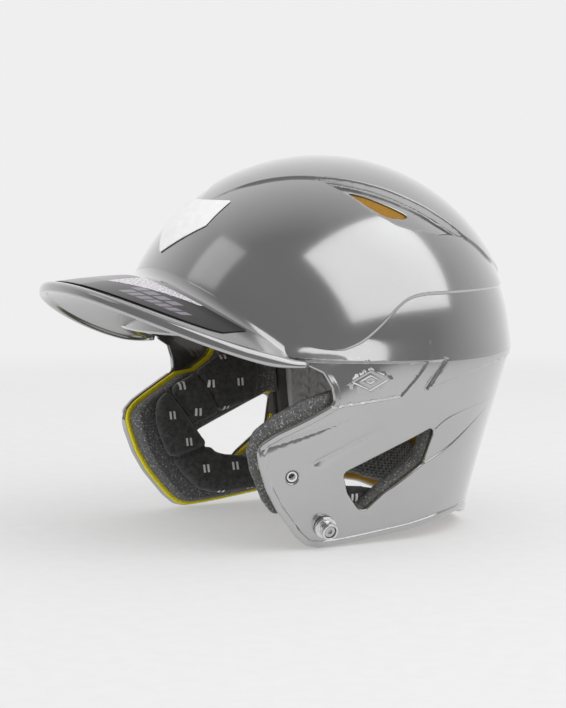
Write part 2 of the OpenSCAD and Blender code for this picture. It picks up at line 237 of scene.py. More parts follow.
def to_segments(q, a, b):
    """Distance of every point to every segment, and how far along it the nearest place is."""
    du, dv = (b - a).T
    length = np.maximum(du * du + dv * dv, 1e-12)
    u = q[:, 0, None] - a[:, 0]
    v = q[:, 1, None] - a[:, 1]
    t = clamp01((u * du + v * dv) / length)
    return np.hypot(u - t * du, v - t * dv), t


def signed_distance(q, ring):
    """Distance to a closed outline, negative inside it."""
    a, b = ring, np.roll(ring, -1, axis=0)
    rise = np.where(np.abs(b[:, 1] - a[:, 1]) < 1e-12, 1e-12, b[:, 1] - a[:, 1])
    lean = (b[:, 0] - a[:, 0]) / rise
    result = np.empty(len(q))
    for start in range(0, len(q), CHUNK):
        part = q[start:start + CHUNK]
        distance = to_segments(part, a, b)[0].min(1)
        u, v = part[:, 0, None], part[:, 1, None]
        spans = (a[:, 1] > v) != (b[:, 1] > v)
        inside = (spans & (u < a[:, 0] + (v - a[:, 1]) * lean)).sum(1) % 2 == 1
        result[start:start + CHUNK] = np.where(inside, -distance, distance)
    return result


def along_path(q, path):
    """(signed distance, share of the way along) to an open path; the distance is positive on its left."""
    a, b = path[:-1], path[1:]
    step = np.linalg.norm(b - a, axis=1)
    start = np.concatenate([[0], np.cumsum(step)[:-1]])
    signed, share = np.empty(len(q)), np.empty(len(q))
    for first in range(0, len(q), CHUNK):
        part = q[first:first + CHUNK]
        distance, t = to_segments(part, a, b)
        nearest = distance.argmin(1)
        rows = np.arange(len(part))
        ab = (b - a)[nearest]
        offset = part - a[nearest]
        left = np.sign(ab[:, 0] * offset[:, 1] - ab[:, 1] * offset[:, 0])
        signed[first:first + CHUNK] = distance[rows, nearest] * left
        share[first:first + CHUNK] = (start[nearest] + t[rows, nearest] * step[nearest]) / step.sum()
    return signed, share


def curve_through(points, steps=8):
    """A smooth open path through points (Catmull-Rom)."""
    p = np.array(points, float)
    p = np.vstack([2 * p[0] - p[1], p, 2 * p[-1] - p[-2]])
    path = []
    for i in range(1, len(p) - 2):
        for k in range(steps):
            t = k / steps
            path.append(0.5 * (2 * p[i] + (p[i + 1] - p[i - 1]) * t
                               + (2 * p[i - 1] - 5 * p[i] + 4 * p[i + 1] - p[i + 2]) * t ** 2
                               + (3 * p[i] - p[i - 1] - 3 * p[i + 1] + p[i + 2]) * t ** 3))
    path.append(p[-2])
    return np.array(path)


def graph(points):
    """A smooth function through (place, value) points, flat beyond its ends."""
    path = curve_through(points, 12)
    return lambda v: np.interp(v, path[:, 0], path[:, 1])


# ---------------------------------------------------------------- triangle sheets on the form
def split_edges(points, tris, choose, settle):
    """Splits every edge that choose gives a place (0 to 1) on; settle puts new points where they belong."""
    pairs = np.sort(tris[:, [[0, 1], [1, 2], [2, 0]]].reshape(-1, 2), axis=1)
    edges, which = np.unique(pairs, axis=0, return_inverse=True)
    share = choose(points, edges)
    cut = ~np.isnan(share)
    if not cut.any():
        return points, tris
    new = points[edges[cut, 0]] * (1 - share[cut, None]) + points[edges[cut, 1]] * share[cut, None]
    number = np.full(len(edges), -1)
    number[cut] = len(points) + np.arange(cut.sum())
    points = np.vstack([points, settle(new)])
    mids = number[which.reshape(-1)].reshape(-1, 3)
    count = (mids >= 0).sum(1)
    parts = [tris[count == 0]]
    for k in range(3):
        a, b, c = tris[:, k], tris[:, (k + 1) % 3], tris[:, (k + 2) % 3]
        ab, bc, ca = mids[:, k], mids[:, (k + 1) % 3], mids[:, (k + 2) % 3]
        one = (count == 1) & (ab >= 0)
        two = (count == 2) & (ab < 0)
        parts += [np.stack(corner, 1)[one] for corner in ((a, ab, c), (ab, b, c))]
        parts += [np.stack(corner, 1)[two] for corner in ((c, ca, bc), (a, b, bc), (a, bc, ca))]
        if k == 0:
            three = count == 3
            parts += [np.stack(corner, 1)[three]
                      for corner in ((a, ab, ca), (ab, b, bc), (ca, bc, c), (ab, bc, ca))]
    return points, np.vstack(parts)


def form_grid(inset, around=26, rows=12):
    """A coarse triangle grid on the left half of the form, from front to rear and from bottom to top."""
    angles = np.radians(np.linspace(-90, 90, around + 1))
    wall = np.linspace(FORM_BOTTOM, RIDGE_Z, rows + 1)
    dome = RIDGE_Z + (CROWN_TOP - inset - RIDGE_Z) * np.sin(np.radians(np.linspace(0, 90, rows + 4)))[1:-1]
    levels = np.concatenate([wall, dome])
    z, angle = np.meshgrid(levels, angles, indexing="ij")
    width, front, rear, front_n = form_sizes(z, inset)
    shrink = np.sqrt(1 - dome_share(z, inset) ** 2)
    behind = np.sin(angle) > 0
    n = np.where(behind, REAR_N, front_n)
    x = width * shrink * np.abs(np.cos(angle)) ** (2 / n)
    y = np.where(behind, rear, front) * shrink * signed_pow(np.sin(angle), 2 / n)
    x[:, [0, -1]] = 0
    points = np.stack([x, y, z], -1).reshape(-1, 3)
    points = np.vstack([points, [[0, 0, CROWN_TOP - inset]]])
    across = around + 1
    tris = []
    for level in range(len(levels) - 1):
        for i in range(around):
            a, b = level * across + i, level * across + i + 1
            tris += [(a, b, a + across), (b, b + across, a + across)]
    last = (len(levels) - 1) * across
    tris += [(last + i, last + i + 1, len(points) - 1) for i in range(around)]
    return points, np.array(tris)


def refine(points, tris, target, inset, rounds=8):
    """Halves edges until each is shorter than the target length at its middle."""
    def choose(pts, edges):
        a, b = pts[edges[:, 0]], pts[edges[:, 1]]
        long_edge = np.linalg.norm(a - b, axis=1) > target((a + b) / 2)
        return np.where(long_edge, 0.5, np.nan)

    for _ in range(rounds):
        before = len(tris)
        points, tris = split_edges(points, tris, choose, lambda new: onto_form(new, inset))
        if len(tris) == before:
            break
    return points, tris


def cut_along(points, tris, field, inset, snap=0.2):
    """Splits the sheet along a field's zero line, after moving near points onto the line."""
    points = points.copy()
    pairs = np.sort(tris[:, [[0, 1], [1, 2], [2, 0]]].reshape(-1, 2), axis=1)
    edges = np.unique(pairs, axis=0)
    value = field(points)
    fa, fb = value[edges[:, 0]], value[edges[:, 1]]
    crossing = fa * fb < 0
    share = np.where(crossing, fa / np.where(crossing, fa - fb, 1), 0.5)
    place = points[edges[:, 0]] * (1 - share[:, None]) + points[edges[:, 1]] * share[:, None]
    for end, near in ((0, share < snap), (1, share > 1 - snap)):
        own, other = edges[:, end], edges[:, 1 - end]
        free = (points[own, 0] > 1e-6) | (points[other, 0] < 1e-6)
        pick = crossing & near & free
        points[own[pick]] = place[pick]
        value[own[pick]] = 0
    points = onto_form(points, inset)

    def choose(_, pairs_now):
        va, vb = value[pairs_now[:, 0]], value[pairs_now[:, 1]]
        cross = va * vb < 0
        return np.where(cross, va / np.where(cross, va - vb, 1), np.nan)

    points, tris = split_edges(points, tris, choose, lambda new: onto_form(new, inset))
    value = np.concatenate([value, np.zeros(len(points) - len(value))])
    return points, tris, value


def without_unused(points, tris):
    """Drops the points that no triangle uses."""
    used = np.unique(tris)
    number = np.full(len(points), -1)
    number[used] = np.arange(len(used))
    return points[used], number[tris]


def both_sides(points, tris):
    """Adds the mirrored right half, sharing the points of the middle plane."""
    count = len(points)
    middle = points[:, 0] < 1e-6
    other = np.where(middle, np.arange(count), count + np.cumsum(~middle) - 1)
    mirrored = points[~middle] * [-1, 1, 1]
    return np.vstack([points, mirrored]), np.vstack([tris, other[tris][:, ::-1]])


def rim_edges(tris):
    """Edges used by one triangle only, in that triangle's direction."""
    directed = tris[:, [[0, 1], [1, 2], [2, 0]]].reshape(-1, 2)
    pairs = np.sort(directed, axis=1)
    _, first, count = np.unique(pairs, axis=0, return_index=True, return_counts=True)
    return directed[first[count == 1]]


def closed_wall(points, tris, outer, outer_n, inner, inner_n, rim, rim_steps=6):
    """Outer and inner skins joined by a rounded rim: returns points, normals and triangles."""
    edges = rim_edges(tris)
    count = len(points)
    corners = np.unique(edges)
    away = np.zeros((count, 3))
    sideways = np.cross(outer[edges[:, 1]] - outer[edges[:, 0]],
                        (outer_n[edges[:, 0]] + outer_n[edges[:, 1]]) / 2)
    np.add.at(away, edges[:, 0], sideways)
    np.add.at(away, edges[:, 1], sideways)
    away = unit(away)[corners]
    centre = (outer[corners] + inner[corners]) / 2
    half = (outer[corners] - inner[corners]) / 2
    half_len = np.linalg.norm(half, axis=1, keepdims=True)
    all_points, all_normals = [outer, inner], [outer_n, inner_n]
    rings = [np.full(count, -1)]
    rings[0][corners] = corners
    for k in range(1, rim_steps):
        turn = math.pi * k / rim_steps
        all_points.append(centre + half * math.cos(turn) + away * rim * math.sin(turn))
        all_normals.append(unit(half / half_len ** 2 * math.cos(turn) + away / rim * math.sin(turn)))
        ring = np.full(count, -1)
        ring[corners] = 2 * count + (k - 1) * len(corners) + np.arange(len(corners))
        rings.append(ring)
    last = np.full(count, -1)
    last[corners] = corners + count
    rings.append(last)
    faces = [tris, tris[:, ::-1] + count]
    for ring, following in zip(rings[:-1], rings[1:]):
        a, b = ring[edges[:, 0]], ring[edges[:, 1]]
        c, d = following[edges[:, 0]], following[edges[:, 1]]
        faces += [np.stack([b, a, c], 1), np.stack([b, c, d], 1)]
    return np.vstack(all_points), np.vstack(all_normals), np.vstack(faces)


def moulded(region, inset, thickness, cell, rim=None, relief=None, fine=None, both=True, cuts=(),
            back_relief=None):
    """A closed wall on the form, where region is negative; relief is its height over the outer face.

    fine gives a shorter edge length where one is wanted, cuts are fields whose zero lines become edges, and
    back_relief is the height of the inner face. The wall is mirrored across X = 0 if both is true.
    """
    rim = thickness / 2 if rim is None else rim

    def edge(p):
        return region(p) + rim

    def target(p):
        length = np.where(np.abs(edge(p)) < cell * 1.5, cell * 0.5, cell)
        return length if fine is None else np.minimum(length, fine(p))

    points, tris = form_grid(inset)
    points, tris = refine(points, tris, lambda p: 0 * p[:, 0] + cell * 3, inset)
    points, tris = without_unused(points, tris[edge(points[tris].mean(1)) < cell * 4])
    points, tris = refine(points, tris, target, inset)
    for cut in cuts:
        points, tris, _ = cut_along(points, tris, cut, inset)
    points, tris, value = cut_along(points, tris, edge, inset)
    points, tris = without_unused(points, tris[value[tris].mean(1) < -1e-9])
    base_n = form_normal(points, inset)
    lift = relief(points) if relief else 0 * points[:, 0]
    outer_n = base_n
    if relief:
        g = slope(relief, points)
        outer_n = unit(base_n - (g - (g * base_n).sum(1, keepdims=True) * base_n))
    middle = points[:, 0] < 1e-6
    if both:
        outer_n[middle, 0] = 0
        outer_n = unit(outer_n)
    outer = points + base_n * lift[:, None]
    back = back_relief(points) if back_relief else 0 * points[:, 0]
    inner = points - base_n * (thickness + back[:, None])
    inner_n = -base_n
    if both:
        points, tris = both_sides(points, tris)
        outer, outer_n, inner, inner_n = [np.vstack([v, v[~middle] * [-1, 1, 1]])
                                          for v in (outer, outer_n, inner, inner_n)]
    return closed_wall(points, tris, outer, outer_n, inner, inner_n, rim)


def turned(data, side):
    """The same mesh data for the left (1) or, mirrored, for the right (-1)."""
    points, normals, tris = data
    if side > 0:
        return data
    return points * [-1, 1, 1], normals * [-1, 1, 1], tris[:, ::-1]


def loose_object(name, data, material):
    """A mesh object in place, not yet riding on a body."""
    points, normals, tris = data
    mesh = bpy.data.meshes.new(name)
    mesh.from_pydata((points * MM).tolist(), [], tris.tolist())
    mesh.update()
    mesh.polygons.foreach_set("use_smooth", [True] * len(mesh.polygons))
    if normals is not None:
        mesh.normals_split_custom_set_from_vertices(normals.tolist())
    piece = bpy.data.objects.new(name, mesh)
    bpy.context.scene.collection.objects.link(piece)
    mesh.materials.append(material)
    return piece


def attach(piece, replaced, body="helmet"):
    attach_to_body(piece, body)
    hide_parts(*replaced)
    return piece


def make_object(name, data, material, replaced, body="helmet"):
    return attach(loose_object(name, data, material), replaced, body)


# ---------------------------------------------------------------- relief of the shell's outer face
# Heights (z) along the helmet's side (y): the crown panel's lower edge, and the ridge below it.
step_line = graph([(-125, 153), (-108, 146), (-94, 137), (-84, 130), (-73, 120), (-57, 114.5), (-45, 113),
                   (-39, 114), (-30, 118), (-19, 126), (-8, 135), (1, 140), (12, 142), (32, 142.3),
                   (120, 142.5)])
ridge_line = graph([(-100, 115), (-76, 110.5), (-59, 108), (-40, 107), (-18, 106), (12, 105), (24, 105),
                    (62, 105),
                    (84, 106.5), (120, 107.5)])
step_height = graph([(-60, 0), (-45, 0.3), (-30, 0.8), (-8, 1.2), (20, 1.3), (120, 1.3)])
ridge_height = graph([(-95, 0), (-80, 0.4), (-70, 1.6), (-60, 2.8), (-45, 3.2), (-30, 2.5), (-15, 1.8),
                      (0, 1.4),
                      (12, 1.1), (24, 0.6), (120, 0.6)])
LEDGE_REACH = 13
RIDGE_DROP = 1.5

TEMPLE_PANEL = outline([(-80, 125, 0), (20, 125, 0), (13, 105, 0), (3.5, 94, 1.5), (-6, 84.5, 1.5),
                        (-49, 81, 0),
                        (-80, 84, 0)])
REAR_WEDGE = outline([(30, 125, 0), (24, 105, 0), (12, 88.5, 1), (31, 93, 20), (63, 99, 20), (83, 100.5, 0),
                      (125, 100.5, 0), (125, 125, 0)])
GROOVE = np.array([(24, 104.5), (10.5, 89)], float)
GROOVE_W = 1.3
SOFT_LINE = curve_through([(19, 64), (29, 70), (45, 74), (67, 77), (90, 78)])
LOW_CREASE = curve_through([(-9, 32), (14, 44.5), (32, 53), (52, 64.5), (70, 74)])
UPPER_FLUTE = curve_through([(-95, 58.5), (-85, 62.5), (-60, 70), (-29, 78.5)])
LOWER_FLUTE = curve_through([(-63, 50), (-50, 56), (-28, 65), (0, 74)])
BADGE_AT = (-26.5, 95)
BADGE_HALF = (13, 6.2)
TOP_PANEL_EDGE = outline(TOP_PANEL)
VENT_LENS_EDGE = outline(VENT_LENS)
VENT_HOLE_EDGE = outline(VENT_HOLE)
LENS_LOW_SIDE = np.array([corner[:2] for corner in VENT_LENS[:7]], float)
LENS_TOP_SIDE = np.array([corner[:2] for corner in VENT_LENS[6:] + VENT_LENS[:1]], float)
# The outlines on the crown, seen from above, count only over this height.
CROWN_ONLY_Z = 150
SHELL_EDGE = outline(FACE_EDGE + FLAP_FRONT + LOWER_RIM + [(140, 0, 0), (140, 240, 0), (-140, 240, 0)])
EAR_HOLE_EDGE = outline(EAR_HOLE)
REAR_SLOTS = [((58, 62), (52, 30))]
HARDWARE_HOLE_R = 3.6
STUD_AT = (-47, 13)
GUARD_NUT_AT = (-70, 43)


def side_view(p):
    return p[:, 1:3]


def plan_view(p):
    return p[:, 0:2]


def front_view(p):
    return p[:, [0, 2]]


def flute(p, path, width, depth, closed_front):
    """A scooped channel under a crisp upper edge, running out to the rear."""
    d, s = along_path(side_view(p), path)
    below = -d
    fade = (1 - s) ** 0.8
    start = smooth(0, 0.1, s) if closed_front else 1
    reach = width * fade * (np.sqrt(clamp01(s / 0.16)) if closed_front else 1) + 0.6
    body = smooth(-0.4, 2.4, below) * clamp01(1 - below / reach) ** 1.2
    return -depth * fade * start * body


def over_ridge(p):
    """Height over the ridge line."""
    return p[:, 2] - ridge_line(p[:, 1])


def over_ridge_foot(p):
    return over_ridge(p) + RIDGE_DROP


def ridge_relief(p):
    """The ledge that stands out along the ridge line."""
    y = p[:, 1]
    over = over_ridge(p)
    reach = np.minimum(step_line(y) - ridge_line(y), LEDGE_REACH)
    upper = clamp01(1 - over / np.maximum(reach, 2)) ** 1.4
    lower = smooth(-RIDGE_DROP, 0, over)
    return ridge_height(y) * np.where(over > 0, upper, lower)


def crown_step(p):
    """The wall below the crown panel's edge lies a little deeper."""
    y, z = p[:, 1], p[:, 2]
    tilt = step_line(y + 0.5) - step_line(y - 0.5)
    d = (z - step_line(y)) / np.sqrt(1 + tilt ** 2)
    return -step_height(y) * (1 - smooth(-0.7, 0.7, d))


def side_panels(p):
    """The sunk temple panel, the raised rear wedge and the groove between them."""
    q = side_view(p)
    under = smooth(0, -RIDGE_DROP, over_ridge(p))
    temple = -1.1 * smooth(0, 0.9, -signed_distance(q, TEMPLE_PANEL)) * under
    wedge = 0.7 * smooth(0, 0.8, -signed_distance(q, REAR_WEDGE)) * under
    groove_d = np.abs(along_path(q, GROOVE)[0])
    groove = -1.3 * (1 - smooth(0.5 * GROOVE_W, GROOVE_W + 0.3, groove_d))
    return temple + wedge + groove


def creases(p):
    """The crease over the ear hole and the soft line above it."""
    q = side_view(p)
    d, s = along_path(q, LOW_CREASE)
    low = 1.0 * (1 - s) ** 0.7 * (1 - smooth(-0.6, 0.6, d)) * smooth(-22, 0, d) * smooth(-2, 6, q[:, 0] + 9)
    d, s = along_path(q, SOFT_LINE)
    soft = 0.35 * (1 - s) * (1 - smooth(-0.8, 0.8, d)) * smooth(-12, 0, d)
    return low + soft


def edge_lip(p):
    """The rolled lip along the flaps and the lower rim."""
    inside = -signed_distance(side_view(p), SHELL_EDGE)
    return 0.9 * (1 - smooth(3.4, 4.6, inside)) * smooth(101, 90, p[:, 2])


def badge(p):
    """A plain raised diamond outline on the temple panel."""
    u = np.abs(p[:, 1] - BADGE_AT[0]) / BADGE_HALF[0]
    v = np.abs(p[:, 2] - BADGE_AT[1]) / BADGE_HALF[1]
    ring = np.abs(u + v - 1) * BADGE_HALF[1] * 0.9
    heart = np.abs(u + v - 0.35) * BADGE_HALF[1] * 0.9
    return 0.5 * (1 - smooth(0.2, 1.3, np.minimum(ring, heart)))


def crown_relief(p):
    """The scooped vents and the raised panel along the top."""
    q = plan_view(p)
    upper = p[:, 2] > step_line(p[:, 1])
    lens = -signed_distance(q, VENT_LENS_EDGE)
    to_low = to_segments(q, LENS_LOW_SIDE[:-1], LENS_LOW_SIDE[1:])[0].min(1)
    to_top = to_segments(q, LENS_TOP_SIDE[:-1], LENS_TOP_SIDE[1:])[0].min(1)
    deep = 0.25 + 0.75 * to_low / np.maximum(to_low + to_top, 1e-6)
    scoop = -3.4 * smooth(0, 1.3, lens) * deep
    panel = -signed_distance(q, TOP_PANEL_EDGE)
    raised = 1.3 * smooth(-0.7, 0.7, panel) * smooth(-80, -52, p[:, 1])
    return np.where(upper, scoop + raised, 0)


def rear_slots(p):
    """Two slanted scoops in the lower rear wall, one on each side."""
    q = front_view(p)
    total = 0 * p[:, 0]
    for a, b in REAR_SLOTS:
        d = to_segments(q, np.array([a], float), np.array([b], float))[0][:, 0]
        total = total - 1.8 * (1 - smooth(1.5, 4.5, d))
    return np.where(p[:, 1] > 40, total, 0)


def shell_relief(p):
    return (ridge_relief(p) + crown_step(p) + side_panels(p) + creases(p) + edge_lip(p) + badge(p)
            + crown_relief(p) + rear_slots(p) + flute(p, UPPER_FLUTE, 6.5, 1.7, False)
            + flute(p, LOWER_FLUTE, 7.5, 1.8, True))


def hardware_hole(p, at):
    """Distance from the hardware hole at a side place (y, z)."""
    place = np.array([float(side_x(at[0], at[1], 0)), at[0], at[1]])
    return np.linalg.norm(p - place, axis=1) - HARDWARE_HOLE_R


def shell_region(p):
    """Negative on the shell's wall, from its outline, ear hole, vent and hardware holes."""
    q = side_view(p)
    field = np.maximum(signed_distance(q, SHELL_EDGE), -signed_distance(q, EAR_HOLE_EDGE))
    vent = np.where(p[:, 2] > CROWN_ONLY_Z, -signed_distance(plan_view(p), VENT_HOLE_EDGE), -99)
    field = np.maximum(field, vent)
    for at in (STUD_AT, GUARD_NUT_AT):
        field = np.maximum(field, -hardware_hole(p, at))
    return field


# Edge lengths of the shell's mesh: on the relief's lines, beside them, on the open wall and on the badge.
LINE_EDGE, BESIDE_EDGE, OPEN_EDGE, BADGE_EDGE = 0.7, 1.8, 4, 0.45


def shell_detail(p):
    """Edge length wanted at each place: fine along the relief's lines, coarse between them."""
    q = side_view(p)
    y, z = p[:, 1], p[:, 2]
    lines = [np.abs(z - step_line(y)) / 1.4, np.abs(z - ridge_line(y) + 0.7),
             np.abs(signed_distance(q, TEMPLE_PANEL)), np.abs(signed_distance(q, REAR_WEDGE)),
             np.abs(along_path(q, LOW_CREASE)[0]), np.abs(along_path(q, SOFT_LINE)[0]) + 0.6,
             np.abs(along_path(q, UPPER_FLUTE)[0]), np.abs(along_path(q, LOWER_FLUTE)[0]),
             np.abs(along_path(q, GROOVE)[0]) * 0.7, np.abs(-signed_distance(q, SHELL_EDGE) - 4)]
    high = z > CROWN_ONLY_Z
    lines.append(np.where(high, np.abs(signed_distance(plan_view(p), VENT_LENS_EDGE)), 99))
    lines.append(np.where(high, np.abs(signed_distance(plan_view(p), TOP_PANEL_EDGE)), 99))
    near = np.minimum.reduce(lines)
    on_badge = np.abs(y - BADGE_AT[0]) / BADGE_HALF[0] + np.abs(z - BADGE_AT[1]) / BADGE_HALF[1] < 1.15
    size = np.where(near < 1.3, LINE_EDGE, np.where(near < 4, BESIDE_EDGE, OPEN_EDGE))
    return np.where(on_badge, BADGE_EDGE, size)


# ---------------------------------------------------------------- brim
BRIM_HALF_W = 93
BRIM_BACK_Y = -60
BRIM_TIP_Z = 148
BRIM_SIDE_Z = 106
BRIM_T = 3.6
BRIM_ROOT_HALF_W = 88
BRIM_ROOT_SIDE_Z = 108
BRIM_ROOT_TOP_Z = 151
BRIM_END_ANGLE = 89.3
BRIM_STEPS = 170
FILLET_RISE = 6
FILLET_OUT = 0.16
# The bead's profile as (distance in from the edge, height over the brim's top).
BEAD = [(6.4, 0), (5.2, 0.35), (4.2, 0.75), (3.1, 0.95), (2.0, 0.8), (1.0, 0.25), (0.35, -0.6), (0.05, -1.7),
        (0, -2.8), (0.15, -3.8), (0.6, -4.6), (1.5, -5.1), (2.6, -5.2), (3.7, -5.0), (4.6, -4.5), (5.5, -3.9),
        (6.4, -3.6)]


def brim_root(a, rise=0, inset=0):
    a = np.radians(a)
    x = BRIM_ROOT_HALF_W * np.sin(a)
    z = BRIM_ROOT_SIDE_Z + (BRIM_ROOT_TOP_Z - BRIM_ROOT_SIDE_Z) * np.cos(a) ** 1.6 + rise
    return np.stack([x, front_y(x, z, inset), z], -1)


def brim_edge(a):
    a = np.radians(a)
    tail = 1.5 * np.abs(np.sin(a)) ** 12 * np.sign(a)
    return np.stack([BRIM_HALF_W * signed_pow(np.sin(a), 2 / 2.2) + tail,
                     BRIM_BACK_Y - (BRIM_REACH + BRIM_BACK_Y) * np.cos(a) ** (2 / 2.2),
                     BRIM_SIDE_Z + (BRIM_TIP_Z - BRIM_SIDE_Z) * np.cos(a) ** 1.4], -1)


def brim_top(a, t):
    """A point on the brim's top, from the crown (t = 0) to the bead (t = 1), slightly crowned."""
    root, edge = brim_root(a), brim_edge(a)
    out = unit(edge - root)
    start = edge - out * BEAD[0][0]
    t = np.asarray(t, float)[..., None]
    crown = np.sin(math.pi * clamp01(t)) * 0.8 * np.cos(np.radians(a))[:, None] * [0, 0, 1]
    return root + (start - root) * t + crown


def brim_mesh():
    """One closed loft of cross-sections from temple to temple."""
    a = np.linspace(-BRIM_END_ANGLE, BRIM_END_ANGLE, BRIM_STEPS + 1)
    root, edge = brim_root(a), brim_edge(a)
    out = unit(edge - root)
    up = np.array([0, 0, 1.0])
    taper = (0.35 + 0.65 * np.sqrt(clamp01((90 - np.abs(a)) / 12)))[:, None]
    high = brim_root(a, FILLET_RISE, 0.35)
    knee = brim_top(a, np.full(len(a), FILLET_OUT))
    columns = [high]
    for k in range(1, 7):
        t = k / 7
        columns.append(high * (1 - t) ** 2 + 2 * root * t * (1 - t) + knee * t ** 2)
    columns += [brim_top(a, np.full(len(a), t)) for t in np.linspace(FILLET_OUT, 1, 8)[:-1]]
    columns += [edge - out * d + up * h * np.where(np.array(h) < 0, taper, 1) for d, h in BEAD]
    inside = brim_root(a, 0, 1.8) - up * BRIM_T
    under = edge - out * BEAD[-1][0] + up * BEAD[-1][1] * taper
    columns += [under + (inside - under) * t for t in (0.25, 0.5, 0.75, 1)]
    columns.append(brim_root(a, FILLET_RISE - 1, 1.8))
    grid = np.stack(columns, 1)
    steps, across = grid.shape[:2]
    number = np.arange(steps * across).reshape(steps, across)
    nxt = np.roll(number, -1, axis=1)
    quads = np.stack([number[:-1], number[1:], nxt[1:], nxt[:-1]], -1).reshape(-1, 4)
    tris = np.vstack([quads[:, [0, 1, 2]], quads[:, [0, 2, 3]]])
    fan = [(number[0, 0], number[0, i], number[0, i + 1]) for i in range(1, across - 1)]
    fan += [(number[-1, 0], number[-1, i + 1], number[-1, i]) for i in range(1, across - 1)]
    return grid.reshape(-1, 3), np.vstack([tris, fan])


def add_brim(shell_data):
    """Joins the brim's loft to the shell's wall, with its own smooth normals."""
    points, tris = brim_mesh()
    face_n = np.cross(points[tris[:, 1]] - points[tris[:, 0]], points[tris[:, 2]] - points[tris[:, 0]])
    centre = points.mean(0)
    volume = ((points[tris].mean(1) - centre) * face_n).sum()
    if volume < 0:
        tris = tris[:, ::-1]
        face_n = -face_n
    normals = np.zeros_like(points)
    for k in range(3):
        np.add.at(normals, tris[:, k], face_n)
    s_points, s_normals, s_tris = shell_data
    return (np.vstack([s_points, points]), np.vstack([s_normals, unit(normals)]),
            np.vstack([s_tris, tris + len(s_points)]))


# ---------------------------------------------------------------- materials
def new_material(name):
    """A node material, its main shader and a helper that adds nodes."""
    material = bpy.data.materials.new(name)
    material.use_nodes = True
    tree = material.node_tree
    shader = tree.nodes["Principled BSDF"]

    def add(kind, inputs=(), **settings):
        node = tree.nodes.new(kind)
        for key, value in settings.items():
            setattr(node, key, value)
        for key, value in dict(inputs).items():
            if isinstance(value, bpy.types.NodeSocket):
                tree.links.new(value, node.inputs[key])
            else:
                node.inputs[key].default_value = value
        return node

    coords = tree.nodes.new("ShaderNodeTexCoord").outputs["Object"]
    return material, tree, shader, add, coords


def grey(v, tint=(1, 1, 1)):
    return (v * tint[0], v * tint[1], v * tint[2], 1)


def noise(add, coords, scale, detail=3, roughness=0.5):
    return add("ShaderNodeTexNoise", {"Vector": coords, "Scale": scale, "Detail": detail,
                                      "Roughness": roughness}).outputs["Fac"]


def ramp(add, value, low, high, start, stop):
    """Maps a value range onto two greys or colours."""
    node = add("ShaderNodeValToRGB", {"Fac": value})
    node.color_ramp.elements[0].position = low
    node.color_ramp.elements[1].position = high
    node.color_ramp.elements[0].color = start
    node.color_ramp.elements[1].color = stop
    return node.outputs["Color"]


def maths(add, operation, a, b=0.0, c=0.0):
    return add("ShaderNodeMath", {0: a, 1: b, 2: c}, operation=operation).outputs[0]


def mix_colour(add, factor, a, b):
    node = add("ShaderNodeMix", data_type="RGBA")
    for socket, value in ((node.inputs[0], factor), (node.inputs[6], a), (node.inputs[7], b)):
        if isinstance(value, bpy.types.NodeSocket):
            node.id_data.links.new(value, socket)
        else:
            socket.default_value = value
    return node.outputs[2]


def bump(tree, add, shader, height, strength, distance, after=None):
    """Drives the shader's normal by a height, on top of an earlier bump if one is given."""
    inputs = {"Height": height, "Strength": strength, "Distance": distance}
    if after is not None:
        inputs["Normal"] = after
    node = add("ShaderNodeBump", inputs)
    tree.links.new(node.outputs["Normal"], shader.inputs["Normal"])
    return node.outputs["Normal"]


def shell_material():
    """Grey metallic lacquer under clear gloss, with faint haze, flake and dust."""
    material, tree, shader, add, coords = new_material("shell_grey_lacquer")
    haze = noise(add, coords, 14, 4)
    flake = add("ShaderNodeTexVoronoi", {"Vector": coords, "Scale": 2600}).outputs["Distance"]
    dust = noise(add, coords, 900, 1)
    base = ramp(add, haze, 0.3, 0.7, grey(0.46, (1, 1, 1.005)), grey(0.51, (1, 1, 1.005)))
    flaked = mix_colour(add, maths(add, "MULTIPLY", flake, 0.10), base, grey(0.7))
    specks = ramp(add, dust, 0.735, 0.76, grey(0), grey(1))
    colour = mix_colour(add, maths(add, "MULTIPLY", specks, 0.35), flaked, grey(0.8))
    tree.links.new(colour, shader.inputs["Base Color"])
    rough = ramp(add, noise(add, coords, 26, 5, 0.62), 0.35, 0.75, grey(0.13), grey(0.18))
    tree.links.new(rough, shader.inputs["Roughness"])
    shader.inputs["Metallic"].default_value = 0.9
    shader.inputs["Coat Weight"].default_value = 0.9
    shader.inputs["Coat Roughness"].default_value = 0.035
    shader.inputs["Coat IOR"].default_value = 1.52
    bump(tree, add, shader, noise(add, coords, 420, 2), 0.01, 0.0002)
    return material


def foam_material(name, low, high, speck, scale=520, tint=(1, 1, 1), grey_above=None):
    """Closed-cell foam: fine cells and lighter cut specks, and dark grey above a height if given."""
    material, tree, shader, add, coords = new_material(name)
    cells = add("ShaderNodeTexVoronoi", {"Vector": coords, "Scale": scale}).outputs["Distance"]
    grain = noise(add, coords, scale * 1.7, 4, 0.7)
    base = ramp(add, grain, 0.35, 0.7, grey(low, tint), grey(high, tint))
    flecks = ramp(add, noise(add, coords, scale * 2.1, 2), 0.60, 0.68, grey(0), grey(1))
    colour = mix_colour(add, maths(add, "MULTIPLY", flecks, 0.8), base, grey(speck, tint))
    if grey_above is not None:
        # Above the given height the foam is coloured dark grey.
        height = add("ShaderNodeSeparateXYZ", {0: coords}).outputs["Z"]
        dark_grey = ramp(add, grain, 0.35, 0.7, grey(0.09), grey(0.13))
        colour = mix_colour(add, maths(add, "GREATER_THAN", height, grey_above), colour, dark_grey)
    tree.links.new(colour, shader.inputs["Base Color"])
    shader.inputs["Roughness"].default_value = 0.92
    first = bump(tree, add, shader, cells, 0.35, 0.0006)
    bump(tree, add, shader, grain, 0.5, 0.0004, first)
    return material


